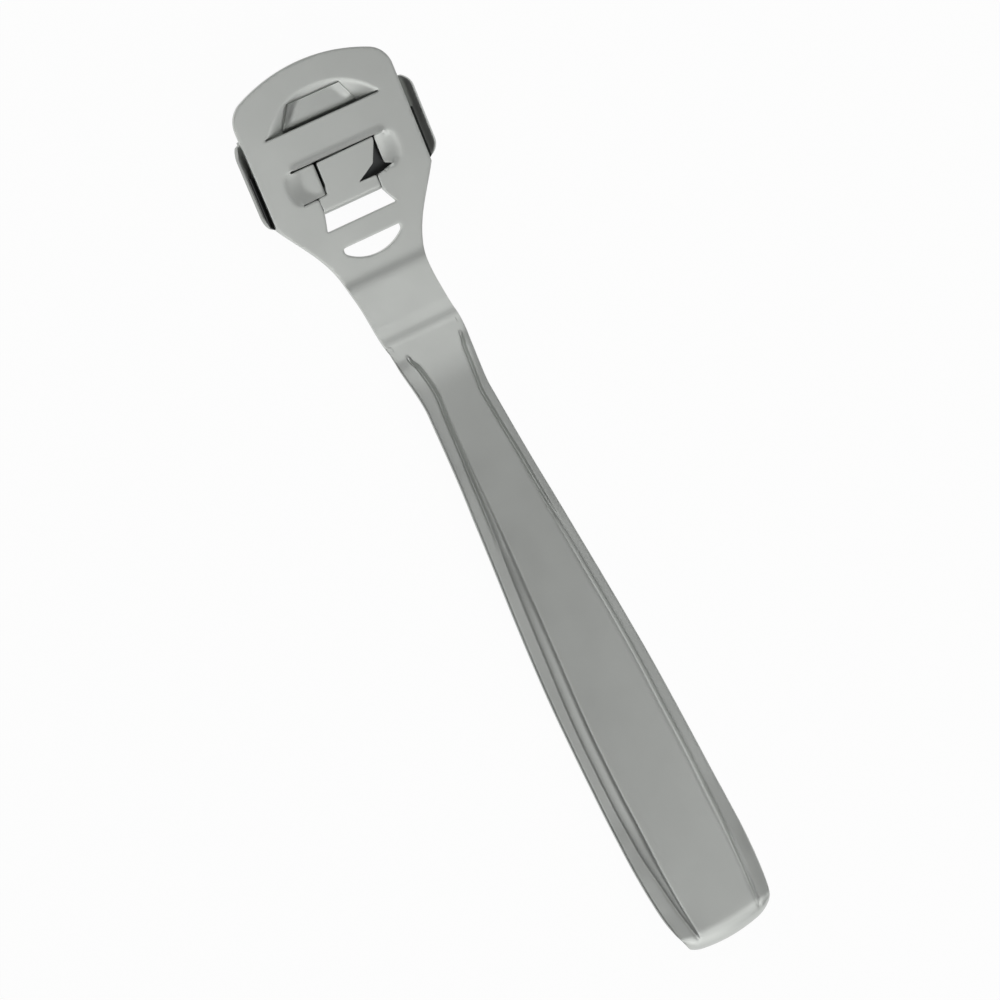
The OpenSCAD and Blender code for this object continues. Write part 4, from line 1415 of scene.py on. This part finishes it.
# Lamps in metres: name, degrees above the floor, degrees around from the front, and power
SOFTBOX_DISTANCE = 0.7
SOFTBOX_SIZE = 0.42
SOFTBOXES = (
    ("low_left_softbox", 14.0, 60.0, 0.44),
    ("low_back_left_softbox", 14.0, 120.0, 0.20),
    ("low_back_softbox", 14.0, 180.0, 0.78),
    ("low_back_right_softbox", 14.0, 240.0, 0.67),
    ("front_softbox", 40.0, 0.0, 0.45),
    ("front_left_softbox", 40.0, 45.0, 0.48),
    ("back_softbox", 40.0, 180.0, 0.65),
    ("back_right_softbox", 40.0, 225.0, 0.23),
    ("right_softbox", 40.0, 270.0, 0.18),
    ("front_right_softbox", 40.0, 315.0, 0.52),
    ("high_front_softbox", 65.0, 0.0, 0.41),
    ("high_back_softbox", 65.0, 180.0, 0.68),
    ("high_right_softbox", 65.0, 300.0, 0.11),
)


def softbox(name, height_angle, around, power):
    """A soft square lamp at an angle above the floor, pointed at the tool."""
    data = bpy.data.lights.new(name, "AREA")
    data.size = SOFTBOX_SIZE
    data.energy = power
    lamp = bpy.data.objects.new(name, data)
    bpy.context.collection.objects.link(lamp)
    up, turn = math.radians(height_angle), math.radians(around)
    level = math.cos(up)
    aim = Vector((level * math.cos(turn), level * math.sin(turn), math.sin(up)))
    lamp.matrix_world = (Matrix.Translation(aim * SOFTBOX_DISTANCE)
                         @ aim.to_track_quat("Z", "Y").to_matrix().to_4x4())


# Share of the paper that glows white for the camera and the steel
PAPER_GLOW = 0.96
PAPER_COLOUR = (0.8, 0.8, 0.8, 1.0)
FLOOR_REACH = 6.0
ROOM_COLOUR = (1.0, 1.0, 1.0, 1.0)
ROOM_GLOW = 0.02


def white_paper():
    """Matt paper that shows white behind the tool and in its steel, and keeps its shadow."""
    material = bpy.data.materials.new("white_paper")
    material.use_nodes = True
    nodes, links = material.node_tree.nodes, material.node_tree.links
    nodes.remove(nodes["Principled BSDF"])
    paper = nodes.new("ShaderNodeBsdfDiffuse")
    paper.inputs["Color"].default_value = PAPER_COLOUR
    glow = nodes.new("ShaderNodeEmission")
    glow.inputs["Strength"].default_value = 1.0
    rays = nodes.new("ShaderNodeLightPath").outputs
    sums = Sums(material.node_tree)
    seen = sums.op("MAXIMUM", sums.op("MAXIMUM", rays["Is Camera Ray"], rays["Is Glossy Ray"]),
                   rays["Is Transmission Ray"])
    mix = nodes.new("ShaderNodeMixShader")
    links.new(sums.mul(seen, PAPER_GLOW), mix.inputs[0])
    links.new(paper.outputs[0], mix.inputs[1])
    links.new(glow.outputs[0], mix.inputs[2])
    links.new(mix.outputs[0], nodes["Material Output"].inputs["Surface"])
    return material


class SHAVER_OT_stage(bpy.types.Operator):
    """Builds the floor, the lamps and the camera"""
    bl_idname = "shaver.stage"
    bl_label = "Stage"

    def execute(self, context):
        reach, low = FLOOR_REACH, CAD_BOX[0][2]
        corners = [(-reach, -reach, low), (reach, -reach, low), (reach, reach, low),
                   (-reach, reach, low)]
        floor = mesh_object("floor", corners, [(0, 1, 2, 3)])
        floor.data.materials.append(white_paper())
        for lamp in SOFTBOXES:
            softbox(*lamp)
        world = bpy.data.worlds.new("studio")
        context.scene.world = world
        world.use_nodes = True
        room = world.node_tree.nodes["Background"].inputs
        room["Color"].default_value = ROOM_COLOUR
        room["Strength"].default_value = ROOM_GLOW
        context.scene.view_settings.view_transform = "Standard"
        make_camera()
        return {"FINISHED"}


class SHAVER_PT_panel(bpy.types.Panel):
    """Lists the pieces of the tool"""
    bl_idname = "SHAVER_PT_panel"
    bl_label = "Callus Shaver"
    bl_space_type = "VIEW_3D"
    bl_region_type = "UI"
    bl_category = "Shaver"

    def draw(self, context):
        for operator in OPERATORS:
            self.layout.operator(operator.bl_idname)


OPERATORS = (SHAVER_OT_handle_sheet, SHAVER_OT_sole_plate, SHAVER_OT_blade, SHAVER_OT_latch,
             SHAVER_OT_stage)
CLASSES = (*SETTINGS.values(), *OPERATORS, SHAVER_PT_panel)


def register():
    """Registers the classes and gives the scene their settings."""
    for cls in CLASSES:
        bpy.utils.register_class(cls)
    for name, group in SETTINGS.items():
        setattr(bpy.types.Scene, name, PointerProperty(type=group))


def unregister():
    """Takes the settings and the classes away again."""
    for name in SETTINGS:
        delattr(bpy.types.Scene, name)
    for cls in reversed(CLASSES):
        bpy.utils.unregister_class(cls)


def main():
    """Builds every piece and the stage."""
    register()
    for operator in OPERATORS:
        group, name = operator.bl_idname.split(".")
        getattr(getattr(bpy.ops, group), name)()


if __name__ == "__main__":
    main()
